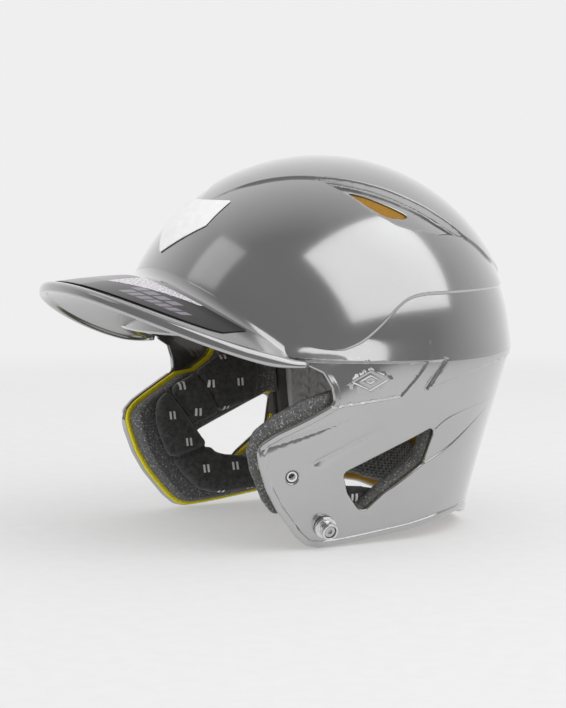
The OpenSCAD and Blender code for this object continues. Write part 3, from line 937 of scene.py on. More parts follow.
def brushed_fabric():
    """Black brushed knit with fibres, pilling and a sparse printed dash motif."""
    material, tree, shader, add, coords = new_material("pad_brushed_fabric")
    fibre = noise(add, add("ShaderNodeVectorMath", {0: coords, 1: (900, 2600, 700)},
                           operation="MULTIPLY").outputs[0], 1, 5, 0.75)
    pilling = noise(add, coords, 330, 5, 0.72)
    base = ramp(add, pilling, 0.34, 0.72, grey(0.012), grey(0.075))
    fuzz = ramp(add, fibre, 0.52, 0.75, grey(0), grey(1))
    colour = mix_colour(add, maths(add, "MULTIPLY", fuzz, 0.35), base, grey(0.16))
    split = add("ShaderNodeSeparateXYZ", {0: coords}).outputs
    marks = None
    pitch_y, pitch_z = 0.021, 0.017
    row = maths(add, "FLOOR", maths(add, "DIVIDE", split["Z"], pitch_z))
    shift = maths(add, "MULTIPLY", maths(add, "MODULO", maths(add, "ABSOLUTE", row), 2.0), 0.5)
    along = maths(add, "ADD", maths(add, "DIVIDE", split["Y"], pitch_y), shift)
    u = maths(add, "SUBTRACT", maths(add, "FRACT", along), 0.5)
    v = maths(add, "SUBTRACT", maths(add, "FRACT", maths(add, "DIVIDE", split["Z"], pitch_z)), 0.5)
    for offset in (-0.07, 0.07):
        du = maths(add, "ABSOLUTE", maths(add, "SUBTRACT", u, offset))
        dv = maths(add, "ABSOLUTE", v)
        inside = maths(add, "MULTIPLY", maths(add, "LESS_THAN", du, 0.036), maths(add, "LESS_THAN", dv, 0.14))
        marks = inside if marks is None else maths(add, "MAXIMUM", marks, inside)
    printed = maths(add, "MULTIPLY", marks, ramp(add, fibre, 0.3, 0.5, grey(0.75), grey(1)))
    tree.links.new(mix_colour(add, printed, colour, grey(0.78)), shader.inputs["Base Color"])
    shader.inputs["Roughness"].default_value = 0.95
    shader.inputs["Sheen Weight"].default_value = 0.35
    shader.inputs["Sheen Roughness"].default_value = 0.5
    first = bump(tree, add, shader, pilling, 0.6, 0.0006)
    bump(tree, add, shader, fibre, 0.4, 0.0002, first)
    return material


def mesh_fabric():
    """Black sports mesh: rows of small oval holes between glossy yarns."""
    material, tree, shader, add, coords = new_material("pad_mesh_fabric")
    turned_coords = add("ShaderNodeMapping", {"Vector": coords, "Rotation": (0.5, 0.2, 0.3),
                                              "Scale": (420, 420, 620)}).outputs[0]
    cells = add("ShaderNodeTexVoronoi", {"Vector": turned_coords, "Scale": 1,
                                         "Randomness": 0.25}).outputs["Distance"]
    yarn = noise(add, coords, 3000, 3)
    colour = ramp(add, cells, 0.3, 0.62, grey(0.004), grey(0.11))
    tree.links.new(mix_colour(add, maths(add, "MULTIPLY", yarn, 0.15), colour, grey(0.3)),
                   shader.inputs["Base Color"])
    shader.inputs["Roughness"].default_value = 0.5
    shader.inputs["Sheen Weight"].default_value = 0.2
    bump(tree, add, shader, cells, 0.9, 0.0012)
    return material


def rubber_material():
    """Mid-grey moulded rubber with a fine matt grain, drawn lighter than mid-grey as painted light for the
    shade the pad sits in.
    """
    material, tree, shader, add, coords = new_material("tread_rubber_with_painted_light")
    grain = noise(add, coords, 700, 4, 0.6)
    # Painted light: this grey is lighter than the rubber's own, to make up for the shade the pad sits in
    # inside the helmet.
    tree.links.new(ramp(add, grain, 0.3, 0.7, grey(0.44), grey(0.58)), shader.inputs["Base Color"])
    shader.inputs["Roughness"].default_value = 0.6
    bump(tree, add, shader, grain, 0.25, 0.0003)
    return material


def metal_material(name, colour, roughness, turning):
    """Plated or turned metal with fine lathe marks and wear."""
    material, tree, shader, add, coords = new_material(name)
    marks = noise(add, coords, turning, 5, 0.7)
    tree.links.new(ramp(add, marks, 0.3, 0.75, grey(colour), grey(colour * 0.82)),
                   shader.inputs["Base Color"])
    tree.links.new(ramp(add, marks, 0.3, 0.8, grey(roughness), grey(roughness * 1.7)),
                   shader.inputs["Roughness"])
    shader.inputs["Metallic"].default_value = 1
    bump(tree, add, shader, marks, 0.12, 0.0001)
    return material


def plastic_material(name, low, high, roughness, tint=(1, 1, 1)):
    """Moulded plastic or film with slight mottling and a fine surface."""
    material, tree, shader, add, coords = new_material(name)
    mottling = noise(add, coords, 180, 4)
    tree.links.new(ramp(add, mottling, 0.3, 0.7, grey(low, tint), grey(high, tint)),
                   shader.inputs["Base Color"])
    tree.links.new(ramp(add, noise(add, coords, 60, 3), 0.3, 0.7, grey(roughness), grey(roughness * 1.35)),
                   shader.inputs["Roughness"])
    bump(tree, add, shader, noise(add, coords, 1500, 2), 0.05, 0.0001)
    return material


# The print on the brim film, as shares across it and from the crown to the bead.
WEDGE_FROM, WEDGE_TO = 0.57, 0.84
WEDGE_DEPTH = 0.52
WEDGE_SLOPE = 1.9
BLOCK_ROWS = ((0.36, 0.54, 0.70, 0.86, 4), (0.60, 0.80, 0.72, 0.93, 7))


def decal_material():
    """Printed film: black with a speckled pale wedge and plain slanted blocks, and a clear grey end."""
    material, tree, shader, add, _ = new_material("brim_decal_print")
    uv = tree.nodes.new("ShaderNodeUVMap").outputs["UV"]
    split = add("ShaderNodeSeparateXYZ", {0: uv}).outputs
    across, along = split["X"], split["Y"]
    both = lambda a, b: maths(add, "MULTIPLY", a, b)
    within = lambda v, low, high: both(maths(add, "GREATER_THAN", v, low), maths(add, "LESS_THAN", v, high))
    ragged = noise(add, uv, 40, 4, 0.7)
    wedge = maths(add, "MULTIPLY_ADD", across, -WEDGE_SLOPE, WEDGE_DEPTH + WEDGE_SLOPE * WEDGE_FROM)
    wedge = maths(add, "MULTIPLY_ADD", ragged, 0.10, wedge)
    band = both(maths(add, "LESS_THAN", along, wedge), within(across, WEDGE_FROM, WEDGE_TO))
    square_uv = add("ShaderNodeVectorMath", {0: uv, 1: (4.4, 1, 1)}, operation="MULTIPLY").outputs[0]
    speckle = ramp(add, noise(add, square_uv, 30, 3, 0.85), 0.42, 0.46, grey(0.04),
                   grey(0.74, (0.98, 0.92, 1)))
    colour = mix_colour(add, band, grey(0.016), speckle)
    slant = maths(add, "MULTIPLY_ADD", along, 0.05, across)
    for low, high, start, stop, blocks in BLOCK_ROWS:
        step = maths(add, "DIVIDE", maths(add, "SUBTRACT", slant, start), (stop - start) / blocks)
        bar = maths(add, "LESS_THAN", maths(add, "FRACT", step), 0.76)
        mask = both(both(within(along, low, high), within(slant, start, stop)), bar)
        colour = mix_colour(add, mask, colour, grey(0.21, (1, 0.88, 1.08)))
    clear_end = maths(add, "LESS_THAN", across, WEDGE_FROM)
    faint = both(within(along, 0.35, 0.6), maths(add, "LESS_THAN", maths(add, "FRACT", both(slant, 34.0)),
                                                 0.7))
    film = mix_colour(add, both(faint, 0.35), grey(0.16), grey(0.34))
    colour = mix_colour(add, clear_end, colour, film)
    tree.links.new(colour, shader.inputs["Base Color"])
    shader.inputs["Roughness"].default_value = 0.32
    shader.inputs["Coat Weight"].default_value = 0.4
    bump(tree, add, shader, ragged, 0.04, 0.0002)
    return material


# The rear liner is dark grey above this height.
REAR_DARK_GREY_Z = 47

MATERIALS = {
    "shell": shell_material(),
    "yellow": foam_material("liner_yellow_foam", 0.26, 0.40, 0.50, 620, (1.0, 0.50, 0.05)),
    "rear_yellow": foam_material("rear_liner_foam", 0.26, 0.40, 0.50, 620, (1.0, 0.56, 0.06),
                                 REAR_DARK_GREY_Z * MM),
    "edge_yellow": foam_material("flap_liner_yellow_foam", 0.8, 1.0, 1.0, 620, (1.0, 0.86, 0.03)),
    "charcoal": foam_material("ear_foam_charcoal", 0.075, 0.17, 0.5, 430),
    "fabric": brushed_fabric(),
    "mesh": mesh_fabric(),
    "rubber": rubber_material(),
    "stud": metal_material("stud_bright_nickel", 0.86, 0.14, 420),
    "screw": metal_material("screw_zinc_steel", 0.62, 0.26, 600),
    "nut": plastic_material("t_nut_white_enamel", 0.72, 0.82, 0.3),
    "emblem": plastic_material("emblem_white_film", 0.86, 0.93, 0.34),
    "decal": decal_material(),
}


# ---------------------------------------------------------------- the pieces
def shell_piece():
    wall = moulded(shell_region, 0, SHELL_T, 4, relief=shell_relief, fine=shell_detail,
                   cuts=[over_ridge, over_ridge_foot])
    make_object("helmet_shell", add_brim(wall), MATERIALS["shell"], replaced=["shell"])


def in_outline(view, ring, low_y=None):
    """A region field from an outline in one of the three views, and from behind a plane if low_y is given."""
    def region(p):
        field = signed_distance(view(p), ring)
        if low_y is not None:
            field = np.maximum(field, low_y - p[:, 1])
        return field
    return region


CROWN_LINER_LOW_Z = 122
# The crown liner's lower edge rises by this much from the temples to the brow.
CROWN_LINER_BROW_RISE = 27
LINER_RIM = 1.5
REAR_LINER_SETBACK = 1.2
REAR_LINER_FRONT_Y = 24.2
REAR_LINER_TOP_Z = 120.8


def crown_liner_region(p):
    return CROWN_LINER_LOW_Z + CROWN_LINER_BROW_RISE * smooth(-40, -85, p[:, 1]) - p[:, 2]


def rear_liner_region(p):
    below_rim = signed_distance(side_view(p), SHELL_EDGE) + REAR_LINER_SETBACK
    return np.maximum.reduce([below_rim, REAR_LINER_FRONT_Y - p[:, 1], p[:, 2] - REAR_LINER_TOP_Z])


def liner_pieces():
    crown = moulded(crown_liner_region, LINER_OUT, LINER_T, 6, rim=LINER_RIM)
    make_object("crown_foam_liner", crown, MATERIALS["yellow"], replaced=["crown_liner"])
    rear = moulded(rear_liner_region, LINER_OUT, LINER_T, 5, rim=LINER_RIM)
    make_object("rear_foam_liner", rear, MATERIALS["rear_yellow"], replaced=["rear_liner"])


FLAP_EDGE = outline(FLAP_LAYER_TOP + FLAP_FRONT + LOWER_RIM + [(86, 30, 0)])
FLAP_REAR_Y = 22
FLANGE_POCKET_R = 6.5


def flap_field(p, setback, rear_y, hole, rise=None):
    """Negative inside a flap's foam: set back from the edge, in front of rear_y and clear of the ear hole."""
    q = side_view(p)
    field = np.maximum(signed_distance(q, FLAP_EDGE) + setback, q[:, 0] - rear_y)
    if rise is not None:
        field = np.minimum(field, signed_distance(q, rise))
    return np.maximum(field, hole - signed_distance(q, EAR_HOLE_EDGE))


def with_pockets(field, p):
    """Opens a foam layer round the two T-nuts."""
    for at in (STUD_AT, GUARD_NUT_AT):
        field = np.maximum(field, FLANGE_POCKET_R - HARDWARE_HOLE_R - hardware_hole(p, at))
    return field


def foam_pieces():
    """The yellow layer against the shell, and the firm charcoal foam; the left foam stands past the edge."""
    rise = outline(LEFT_FOAM_RISE)
    # Set-backs of the layer and the foam, the foam's gap round the ear hole, and its rise past the edge.
    fits = {"left": (2.6, 2.2, -1, rise), "right": (1, 2.7, 2.6, None)}
    for name, side in SIDES.items():
        layer_setback, foam_setback, hole, foam_rise = fits[name]
        thin = moulded(lambda p: with_pockets(flap_field(p, layer_setback, FLAP_REAR_Y - 1.2, 1.3), p),
                       LINER_OUT,
                       FLAP_LINER_T, 4, both=False)
        thick = moulded(lambda p: flap_field(p, foam_setback, FLAP_REAR_Y + 0.4, hole, foam_rise),
                        EAR_FOAM_OUT,
                        EAR_FOAM_T, 3, rim=1.6, both=False)
        make_object(f"{name}_flap_foam_layer", turned(thin, side), MATERIALS["edge_yellow"],
                    replaced=[f"{name}_flap_liner"])
        foam = make_object(f"{name}_ear_firm_foam", turned(thick, side), MATERIALS["charcoal"],
                           replaced=[f"{name}_ear_foam"])


CLOTH_FRAMES = 20


def puffed(name, data, material, replaced, voxel=3, cap=1.5, seams=None):
    """A stitched pad: the cloth simulation swells it, within a cap, and its seams are drawn in after that."""
    piece = loose_object(name, (data[0], None, data[2]), material)
    remesh = piece.modifiers.new("remesh", "REMESH")
    remesh.mode = "VOXEL"
    remesh.voxel_size = voxel * MM
    apply_modifiers(piece)
    rest = vertex_array(piece)
    cloth = piece.modifiers.new("cloth", "CLOTH")
    cloth.settings.quality = 5
    cloth.settings.mass = 0.3
    cloth.settings.tension_stiffness = 20
    cloth.settings.compression_stiffness = 12
    cloth.settings.bending_stiffness = 1.5
    cloth.settings.use_pressure = True
    cloth.settings.uniform_pressure_force = 4
    cloth.settings.effector_weights.gravity = 0
    cloth.collision_settings.use_collision = False
    cloth.point_cache.frame_start = 1
    cloth.point_cache.frame_end = CLOTH_FRAMES
    for number in range(1, CLOTH_FRAMES + 1):
        bpy.context.scene.frame_set(number)
    apply_modifiers(piece)
    bpy.context.scene.frame_set(1)
    moved = vertex_array(piece) - rest
    length = np.linalg.norm(moved, axis=1, keepdims=True)
    moved *= np.minimum(1, cap / np.maximum(length, 1e-9))
    set_vertices(piece, rest + moved)
    smoother = piece.modifiers.new("smooth", "SUBSURF")
    smoother.levels = 1
    smoother.render_levels = 1
    apply_modifiers(piece)
    if seams:
        points = vertex_array(piece)
        normals = np.array([v.normal for v in piece.data.vertices])
        set_vertices(piece, points + normals * seams(points)[:, None])
    piece.data.polygons.foreach_set("use_smooth", [True] * len(piece.data.polygons))
    attach(piece, replaced)
    return piece


def vertex_array(piece):
    co = np.zeros(len(piece.data.vertices) * 3)
    piece.data.vertices.foreach_get("co", co)
    return co.reshape(-1, 3) / MM


def set_vertices(piece, points):
    piece.data.vertices.foreach_set("co", (points * MM).reshape(-1))
    piece.data.update()


def apply_modifiers(piece):
    """Bakes the piece's modifiers into its mesh."""
    bpy.context.view_layer.update()
    depsgraph = bpy.context.evaluated_depsgraph_get()
    result = bpy.data.meshes.new_from_object(piece.evaluated_get(depsgraph))
    piece.modifiers.clear()
    old = piece.data
    piece.data = result
    bpy.data.meshes.remove(old)


def groove_along(paths, width, depth):
    """Draws a pad's face in along stitched seams given as (y, z) paths."""
    def seams(points):
        q = points[:, 1:3]
        d = np.minimum.reduce([np.abs(along_path(q, path)[0]) for path in paths])
        return -depth * np.exp(-(d / width) ** 2)
    return seams


EAR_SEAMS = [curve_through([(-80, 26), (-58, 34), (-34, 40)])]
TEMPLE_SEAMS = [curve_through([(-44, 88), (-32, 72), (-22, 50)])]


# Each pad's mesh starts this much deeper and thinner than the pad, because it swells.
PAD_SWELL = 0.8
CROWN_PAD_LOW_Z = 145
NAPE_PAD_FRONT_Y = 32.2
REAR_PAD_FRONT_Y = 28.2
TREAD_RISE = 1.6
TREAD_MESH_EDGE = 1.6


def pad_pieces():
    cushion_ring = outline(CUSHION_FRONT + CUSHION_REAR)
    cushion = moulded(in_outline(side_view, cushion_ring), EAR_CUSHION_OUT + PAD_SWELL, EAR_CUSHION_T - 2,
                      4, rim=3.4,
                      both=False)
    temple = moulded(in_outline(side_view, outline(TEMPLE_PAD)), EAR_CUSHION_OUT + PAD_SWELL,
                     EAR_CUSHION_T - 3, 4,
                     rim=3.2, both=False)
    for name, side in SIDES.items():
        puffed(f"{name}_ear_fabric_cushion", turned(cushion, side), MATERIALS["fabric"],
               replaced=[f"{name}_ear_cushion"], voxel=2.6, cap=1.3, seams=groove_along(EAR_SEAMS, 1.5, 2.6))
        puffed(f"{name}_temple_fabric_pad", turned(temple, side), MATERIALS["fabric"],
               replaced=[f"{name}_temple_pad"], voxel=2.6, cap=1.3,
               seams=groove_along(TEMPLE_SEAMS, 1.5, 2.4))
    front = moulded(in_outline(front_view, outline(FRONT_PAD)), PAD_OUT + PAD_SWELL, PAD_T - 2, 5, rim=3.2)
    puffed("forehead_pad", front, MATERIALS["fabric"], replaced=["front_pad"], voxel=3, cap=1.2)
    crown = moulded(lambda p: np.maximum(signed_distance(plan_view(p), outline(CROWN_PAD)),
                                         CROWN_PAD_LOW_Z - p[:, 2]),
                    PAD_OUT + PAD_SWELL, PAD_T - 2, 5, rim=3.2)
    puffed("crown_pad_cushion", crown, MATERIALS["fabric"], replaced=["crown_pad"], voxel=3,
           cap=1.2)
    nape = moulded(in_outline(side_view, outline(NAPE_PAD), NAPE_PAD_FRONT_Y), PAD_OUT + 0.9, PAD_T, 4, rim=4)
    puffed("nape_mesh_cushion", nape, MATERIALS["mesh"], replaced=["nape_pad"], voxel=3, cap=1.6)
    rear = moulded(in_outline(side_view, outline(REAR_PAD), REAR_PAD_FRONT_Y), PAD_OUT, PAD_T - TREAD_RISE,
                   5, rim=2,
                   back_relief=tread, fine=lambda p: 0 * p[:, 0] + TREAD_MESH_EDGE)
    pad = make_object("rear_tread_pad", rear, MATERIALS["rubber"], replaced=["rear_pad"])


TREAD_W, TREAD_H, TREAD_LEAN = 6.5, 6.5, 6
MM_PER_DEGREE = 1.75


def tread(p):
    """Slanted blocks in a zigzag on the inner face of the rear pad."""
    across = np.degrees(np.arctan2(p[:, 0], p[:, 1])) * MM_PER_DEGREE
    column = across / TREAD_W
    lean = np.where(np.floor(column) % 2 == 0, 1, -1) * ((column % 1) - 0.5) * TREAD_LEAN
    row = ((p[:, 2] + lean) / TREAD_H) % 1
    block = smooth(0.10, 0.24, row) * smooth(0.80, 0.66, row)
    cut = smooth(0.03, 0.13, column % 1) * smooth(0.97, 0.87, column % 1)
    return TREAD_RISE * block * cut


# ---------------------------------------------------------------- fastening hardware
SEAT_GAP = 0.25
STUD_BASE_R, STUD_BASE_H = 6.5, 2.4
STUD_POST_R, STUD_POST_H = 4.8, 5.6
STUD_BORE_R = 2.3
HEAD_RECESS_R, HEAD_RECESS_H = 3.6, 3.4
SCREW_HEAD_R, SCREW_HEAD_H = 3.4, 2.4
SCREW_R = 2
DRIVE_R, DRIVE_H = 1.5, 1.4
THREAD_TURNS, THREAD_PITCH = 9, 0.7
NUT_SEAT = 0.6
NUT_FLANGE_R, NUT_FLANGE_H = 6, 1.1
NUT_BARREL_R, NUT_BARREL_H = 2.95, 3
NUT_BORE_R = 2.07


def rounded_profile(corners, steps=4):
    """(radius, height) points of a lathe profile, each corner given as (radius, height, fillet)."""
    ring = np.array([corner[:2] for corner in corners], float)
    result = []
    for i, (_, _, fillet) in enumerate(corners):
        here = ring[i]
        if fillet <= 0 or i in (0, len(corners) - 1):
            result.append(here)
            continue
        to_last, to_next = ring[i - 1] - here, ring[i + 1] - here
        a = here + to_last * min(0.45, fillet / np.linalg.norm(to_last))
        b = here + to_next * min(0.45, fillet / np.linalg.norm(to_next))
        for k in range(steps + 1):
            t = k / steps
            result.append(a * (1 - t) ** 2 + 2 * here * t * (1 - t) + b * t * t)
    return np.array(result)


def lathe(profile, closed, steps=72, hex_inside=None):
    """A turned part about +Z. A profile inside hex_inside (radius, lowest height) becomes a hexagon socket."""
    profile = np.asarray(profile)
    angles = np.arange(steps) * 2 * math.pi / steps
    r = profile[None, :, 0] * np.ones((steps, 1))
    h = profile[None, :, 1] * np.ones((steps, 1))
    if hex_inside:
        socket = (r <= hex_inside[0] + 1e-6) & (h >= hex_inside[1] - 1e-6)
        flat = math.cos(math.pi / 6) / np.cos((angles % (math.pi / 3)) - math.pi / 6)
        r = np.where(socket, r * flat[:, None], r)
    points = np.stack([r * np.cos(angles)[:, None], r * np.sin(angles)[:, None], h], -1)
    count = profile.shape[0]
    number = np.arange(steps * count).reshape(steps, count)
    ahead = np.roll(number, -1, axis=0)
    last = count if closed else count - 1
    tris = []
    for k in range(last):
        n = (k + 1) % count
        tris.append(np.stack([number[:, k], ahead[:, k], ahead[:, n]], 1))
        tris.append(np.stack([number[:, k], ahead[:, n], number[:, n]], 1))
    points = points.reshape(-1, 3)
    tris = np.vstack(tris)
    if not closed:
        for end, flip in ((0, True), (count - 1, False)):
            tip = len(points)
            points = np.vstack([points, [[0, 0, profile[end, 1]]]])
            ring = number[:, end]
            fan = np.stack([np.full(steps, tip), ring, np.roll(ring, -1)], 1)
            tris = np.vstack([tris, fan[:, ::-1] if flip else fan])
    return points, tris


def placed_at(points, at, side):
    """Puts a turned part on the shell's outer face at a side place (y, z)."""
    place = np.array([float(side_x(at[0], at[1], 0)), at[0], at[1]])
    normal = form_normal(place[None], 0)[0]
    u = np.cross([0, 0, 1.0], normal)
    u /= np.linalg.norm(u)
    v = np.cross(normal, u)
    return (place + points @ np.stack([u, v, normal])) * [side, 1, 1]


def turned_part(name, profile, closed, at, side, material, replaced, body="helmet", hex_inside=None):
    points, tris = lathe(profile, closed, hex_inside=hex_inside)
    world = placed_at(points, at, side)
    a, b, c = world[tris[:, 0]], world[tris[:, 1]], world[tris[:, 2]]
    if (np.cross(a, b) * c).sum() < 0:
        tris = tris[:, ::-1]
    piece = make_object(name, (world, None, tris), material, replaced, body)
    piece.data.set_sharp_from_angle(angle=math.radians(40))
    return piece


def hardware():
    """The chin-strap studs, their screws, and the T-nuts behind and in front of them."""
    base_top = SEAT_GAP + STUD_BASE_H
    post_top = base_top + STUD_POST_H
    floor_z = post_top - HEAD_RECESS_H
    stud = rounded_profile([(STUD_BORE_R, SEAT_GAP, 0), (STUD_BASE_R, SEAT_GAP, 0.3),
                            (STUD_BASE_R, base_top, 0.9),
                            (STUD_POST_R - 0.5, base_top, 0.7), (STUD_POST_R - 0.5, post_top - 2.4, 0.5),
                            (STUD_POST_R, post_top - 1.9, 0.5), (STUD_POST_R, post_top, 0.9),
                            (HEAD_RECESS_R, post_top, 0.35), (HEAD_RECESS_R, floor_z, 0.2),
                            (STUD_BORE_R, floor_z, 0.2), (STUD_BORE_R, SEAT_GAP + 0.2, 0)])
    head_z = floor_z + SEAT_GAP
    head_top = head_z + SCREW_HEAD_H
    shank_end = -SHELL_T - NUT_SEAT - NUT_FLANGE_H + SEAT_GAP
    thread = []
    for k in range(THREAD_TURNS):
        low = shank_end + 0.5 + k * THREAD_PITCH
        thread += [(SCREW_R - 0.02, low, 0), (SCREW_R - 0.28, low + 0.35, 0)]
    screw = rounded_profile([(0.6, shank_end, 0), (SCREW_R - 0.4, shank_end, 0)] + thread +
                            [(SCREW_R, shank_end + 0.5 + THREAD_TURNS * THREAD_PITCH, 0),
                             (SCREW_R, head_z, 0.1),
                             (SCREW_HEAD_R, head_z, 0.3), (SCREW_HEAD_R, head_top, 0.7),
                             (DRIVE_R + 0.5, head_top, 0), (DRIVE_R, head_top - 0.12, 0),
                             (DRIVE_R, head_top - DRIVE_H, 0), (DRIVE_R * 0.5, head_top - DRIVE_H - 0.1, 0)])
    nut_top = -SHELL_T - NUT_SEAT
    flange_low = nut_top - NUT_FLANGE_H
    barrel_end = flange_low + NUT_BARREL_H + NUT_FLANGE_H
    nut = rounded_profile([(NUT_BORE_R, flange_low, 0), (NUT_FLANGE_R, flange_low, 0.4),
                           (NUT_FLANGE_R, nut_top, 0.4),
                           (NUT_BARREL_R, nut_top, 0.2), (NUT_BARREL_R, barrel_end, 0.3),
                           (NUT_BORE_R + 0.3, barrel_end, 0),
                           (NUT_BORE_R, barrel_end - 0.3, 0)])
    for name, side in SIDES.items():
        turned_part(f"{name}_chin_strap_stud", stud, True, STUD_AT, side, MATERIALS["stud"],
                    [f"{name}_snap_stud"])
        turned_part(f"{name}_stud_fixing_screw", screw, False, STUD_AT, side, MATERIALS["screw"],
                    [f"{name}_stud_screw"], f"{name}_stud_screw", (DRIVE_R + 0.01, head_top - DRIVE_H - 0.2))
        turned_part(f"{name}_stud_nut", nut, True, STUD_AT, side, MATERIALS["nut"],
                    [f"{name}_stud_t_nut"])
        turned_part(f"{name}_face_guard_nut", nut, True, GUARD_NUT_AT, side, MATERIALS["nut"],
                    [f"{name}_face_guard_t_nut"])


# ---------------------------------------------------------------- emblem and printed film
EMBLEM_T = 0.6
FILM_GAP = 0.3
FILM_END = 58
FILM_T = 0.45
FILM_FROM = 0.24
FILM_REACH = 0.73


def emblem():
    """The blank home-plate badge on the crown's front."""
    ring = outline(EMBLEM)
    plate = moulded(lambda p: np.maximum(signed_distance(front_view(p), ring), p[:, 1]), -FILM_GAP - EMBLEM_T,
                    EMBLEM_T, 2.5, rim=0.2)
    make_object("home_plate_emblem", plate, MATERIALS["emblem"], ["front_emblem"])


def film_share(a, t):
    """How far down the brim the film reaches: t = 0 along the crown, 1 along the bead."""
    return FILM_FROM + FILM_REACH * np.cos(np.radians(90 * a / (FILM_END + 1))) ** 0.12 * t


def brim_film(columns=96, rows=16):
    """The printed film on the brim's top, with its place across and along the brim as its UV."""
    a, t = np.meshgrid(np.linspace(-FILM_END, FILM_END, columns + 1), np.linspace(0, 1, rows + 1),
                       indexing="ij")
    flat_a, flat_t = a.reshape(-1), t.reshape(-1)
    share = film_share(flat_a, flat_t)
    on = brim_top(flat_a, share)
    du = brim_top(flat_a + 0.2, share) - brim_top(flat_a - 0.2, share)
    dt = brim_top(flat_a, share + 0.01) - brim_top(flat_a, share - 0.01)
    up = unit(np.cross(dt, du))
    up *= np.sign(up[:, 2:3])
    high = on + up * (FILM_GAP + FILM_T)
    low = on + up * FILM_GAP
    number = np.arange(len(on)).reshape(a.shape)
    quads = np.stack([number[:-1, :-1], number[1:, :-1], number[1:, 1:], number[:-1, 1:]], -1).reshape(-1, 4)
    tris = np.vstack([quads[:, [0, 1, 2]], quads[:, [0, 2, 3]]])
    face = np.cross(high[tris[:, 1]] - high[tris[:, 0]], high[tris[:, 2]] - high[tris[:, 0]])
    if face[:, 2].sum() < 0:
        tris = tris[:, ::-1]
    points, normals, faces = closed_wall(on, tris, high, up, low, -up, 0.15)
    piece = loose_object("brim_printed_film", (points, normals, faces), MATERIALS["decal"])
    uv = np.stack([flat_a / (2 * FILM_END) + 0.5, flat_t], -1)
    rim = np.unique(rim_edges(tris))
    extra = (len(points) - 2 * len(on)) // len(rim)
    uv = np.vstack([uv, uv] + [uv[rim]] * extra)
    layer = piece.data.uv_layers.new(name="film")
    loops = np.zeros(len(piece.data.loops), int)
    piece.data.loops.foreach_get("vertex_index", loops)
    layer.data.foreach_set("uv", uv[loops].reshape(-1))
    attach(piece, ["brim_decal"])


# ---------------------------------------------------------------- camera, light and floor
CAMERA_AZ = 60
CAMERA_EL = 5.7
CAMERA_DISTANCE = 1300
CAMERA_TARGET = Vector((0, 0, 108))
CAMERA_LENS = 110.2
FRAME_SHIFT = (21.0, 7.8)


def direction(azimuth, elevation):
    az, el = math.radians(azimuth), math.radians(elevation)
    return Vector((math.sin(az) * math.cos(el), -math.cos(az) * math.cos(el), math.sin(el)))


def camera():
    data = bpy.data.cameras.new("photo_camera")
    data.lens = CAMERA_LENS
    data.sensor_width = 36
    piece = bpy.data.objects.new("photo_camera", data)
    bpy.context.scene.collection.objects.link(piece)
    back = direction(CAMERA_AZ, CAMERA_EL)
    right = Vector((0, 0, 1)).cross(back).normalized()
    up = back.cross(right)
    aim = CAMERA_TARGET - right * FRAME_SHIFT[0] - up * FRAME_SHIFT[1]
    piece.location = (aim + back * CAMERA_DISTANCE) * MM
    piece.rotation_euler = back.to_track_quat("Z", "Y").to_euler()
    bpy.context.scene.camera = piece


def soft_light(name, azimuth, elevation, distance, size, radiance, target=(0, 0, 120)):
    """A softbox aimed at the helmet, size (width, height) in metres; its power follows from its radiance."""
    data = bpy.data.lights.new(name, "AREA")
    data.shape = "RECTANGLE"
    data.size, data.size_y = size
    data.energy = radiance * size[0] * size[1] * math.pi
    piece = bpy.data.objects.new(name, data)
    bpy.context.scene.collection.objects.link(piece)
    away = direction(azimuth, elevation)
    piece.location = Vector(target) * MM + away * distance
    piece.rotation_euler = away.to_track_quat("Z", "Y").to_euler()
    return piece


# The world as seen by the camera, by diffuse light, and by gloss on the camera's side and behind the helmet.
BACKGROUND = 0.863
SOFT_SKY = 0.95
GLOSS_NEAR, GLOSS_BEHIND = 0.21, 0.9
FLOOR_GLOW = 0.36


def surroundings():
    """A pale studio: bright behind the helmet and for the camera, darker on the camera's side."""
    world = bpy.data.worlds.new("pale_studio")
    bpy.context.scene.world = world
    world.use_nodes = True
    tree = world.node_tree
    tree.nodes.clear()
    add = lambda kind: tree.nodes.new(kind)
    path, sky, dome, wall, lit, mix, out = [add(kind) for kind in (
        "ShaderNodeLightPath", "ShaderNodeBackground", "ShaderNodeBackground", "ShaderNodeBackground",
        "ShaderNodeMixShader", "ShaderNodeMixShader", "ShaderNodeOutputWorld")]
    coords, turn = add("ShaderNodeTexCoord"), add("ShaderNodeVectorMath")
    turn.operation = "DOT_PRODUCT"
    turn.inputs[1].default_value = -direction(CAMERA_AZ, 0)
    tree.links.new(coords.outputs["Generated"], turn.inputs[0])
    tint = add("ShaderNodeValToRGB")
    shift = add("ShaderNodeMath")
    shift.operation = "MULTIPLY_ADD"
    shift.inputs[1].default_value = 0.5
    shift.inputs[2].default_value = 0.5
    tree.links.new(turn.outputs["Value"], shift.inputs[0])
    tree.links.new(shift.outputs[0], tint.inputs["Fac"])
    tint.color_ramp.elements[0].position = 0.35
    tint.color_ramp.elements[0].color = grey(GLOSS_NEAR)
    tint.color_ramp.elements[1].position = 0.95
    tint.color_ramp.elements[1].color = grey(GLOSS_BEHIND)
    tree.links.new(tint.outputs["Color"], sky.inputs["Color"])
    dome.inputs["Color"].default_value = grey(SOFT_SKY)
    wall.inputs["Color"].default_value = grey(BACKGROUND)
    tree.links.new(path.outputs["Is Camera Ray"], mix.inputs[0])
    tree.links.new(path.outputs["Is Diffuse Ray"], lit.inputs[0])
    tree.links.new(sky.outputs[0], lit.inputs[1])
    tree.links.new(dome.outputs[0], lit.inputs[2])
    tree.links.new(lit.outputs[0], mix.inputs[1])
    tree.links.new(wall.outputs[0], mix.inputs[2])
    tree.links.new(mix.outputs[0], out.inputs["Surface"])


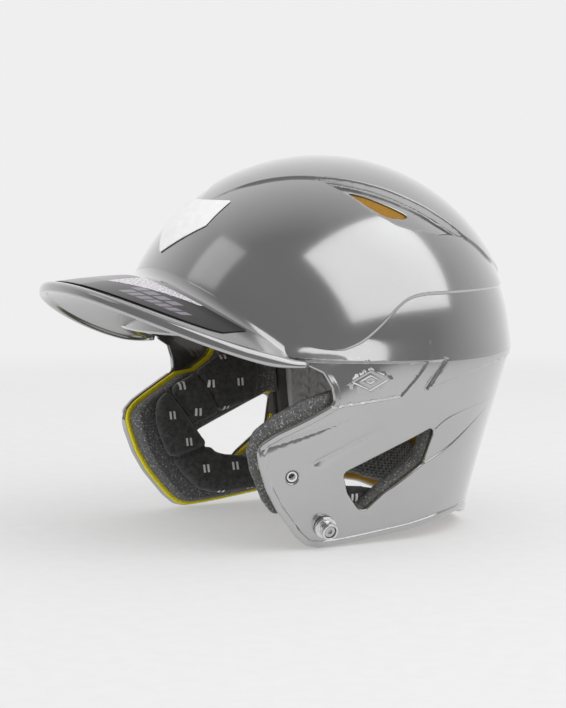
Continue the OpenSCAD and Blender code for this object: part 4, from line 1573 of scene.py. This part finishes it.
def floor():
    """A pale round floor that fades out into the background."""
    mesh = bpy.data.meshes.new("studio_floor")
    rings, steps = 24, 96
    points = [(0, 0, 0)]
    for ring in range(1, rings + 1):
        r = 1.6 * (ring / rings) ** 1.5
        points += [(r * math.cos(2 * math.pi * k / steps), r * math.sin(2 * math.pi * k / steps), 0)
                   for k in range(steps)]
    faces = [(0, 1 + k, 1 + (k + 1) % steps) for k in range(steps)]
    for ring in range(rings - 1):
        low, high = 1 + ring * steps, 1 + (ring + 1) * steps
        faces += [(low + k, high + k, high + (k + 1) % steps, low + (k + 1) % steps) for k in range(steps)]
    mesh.from_pydata(points, [], faces)
    piece = bpy.data.objects.new("studio_floor", mesh)
    bpy.context.scene.collection.objects.link(piece)
    piece.location.z = cad_box[0].z - 0.0003
    material, tree, shader, add, coords = new_material("studio_floor_paper")
    grain = noise(add, coords, 90, 3)
    tree.links.new(ramp(add, grain, 0.3, 0.7, grey(0.44), grey(0.46)), shader.inputs["Base Color"])
    shader.inputs["Roughness"].default_value = 0.9
    shader.inputs["Specular IOR Level"].default_value = 0.1
    shader.inputs["Emission Color"].default_value = grey(1)
    shader.inputs["Emission Strength"].default_value = FLOOR_GLOW
    length = add("ShaderNodeVectorMath", {0: coords}, operation="LENGTH").outputs["Value"]
    fade = add("ShaderNodeMapRange", {"Value": length, "From Min": 0.35, "From Max": 1.1},
               interpolation_type="SMOOTHSTEP").outputs["Result"]
    clear = tree.nodes.new("ShaderNodeBsdfTransparent")
    blend = tree.nodes.new("ShaderNodeMixShader")
    tree.links.new(fade, blend.inputs[0])
    tree.links.new(shader.outputs[0], blend.inputs[1])
    tree.links.new(clear.outputs[0], blend.inputs[2])
    tree.links.new(blend.outputs[0], tree.nodes["Material Output"].inputs["Surface"])
    mesh.materials.append(material)


# ---------------------------------------------------------------- build
camera()
shell_piece()
liner_pieces()
foam_pieces()
pad_pieces()
hardware()
emblem()
brim_film()
surroundings()
soft_light("key_softbox", 118, 42, 1.5, (1.6, 1.4), 1.15)
soft_light("front_soft_spot", -8, 46, 1.6, (0.7, 0.7), 0.4)
floor()
bpy.context.scene.view_settings.view_transform = "Standard"
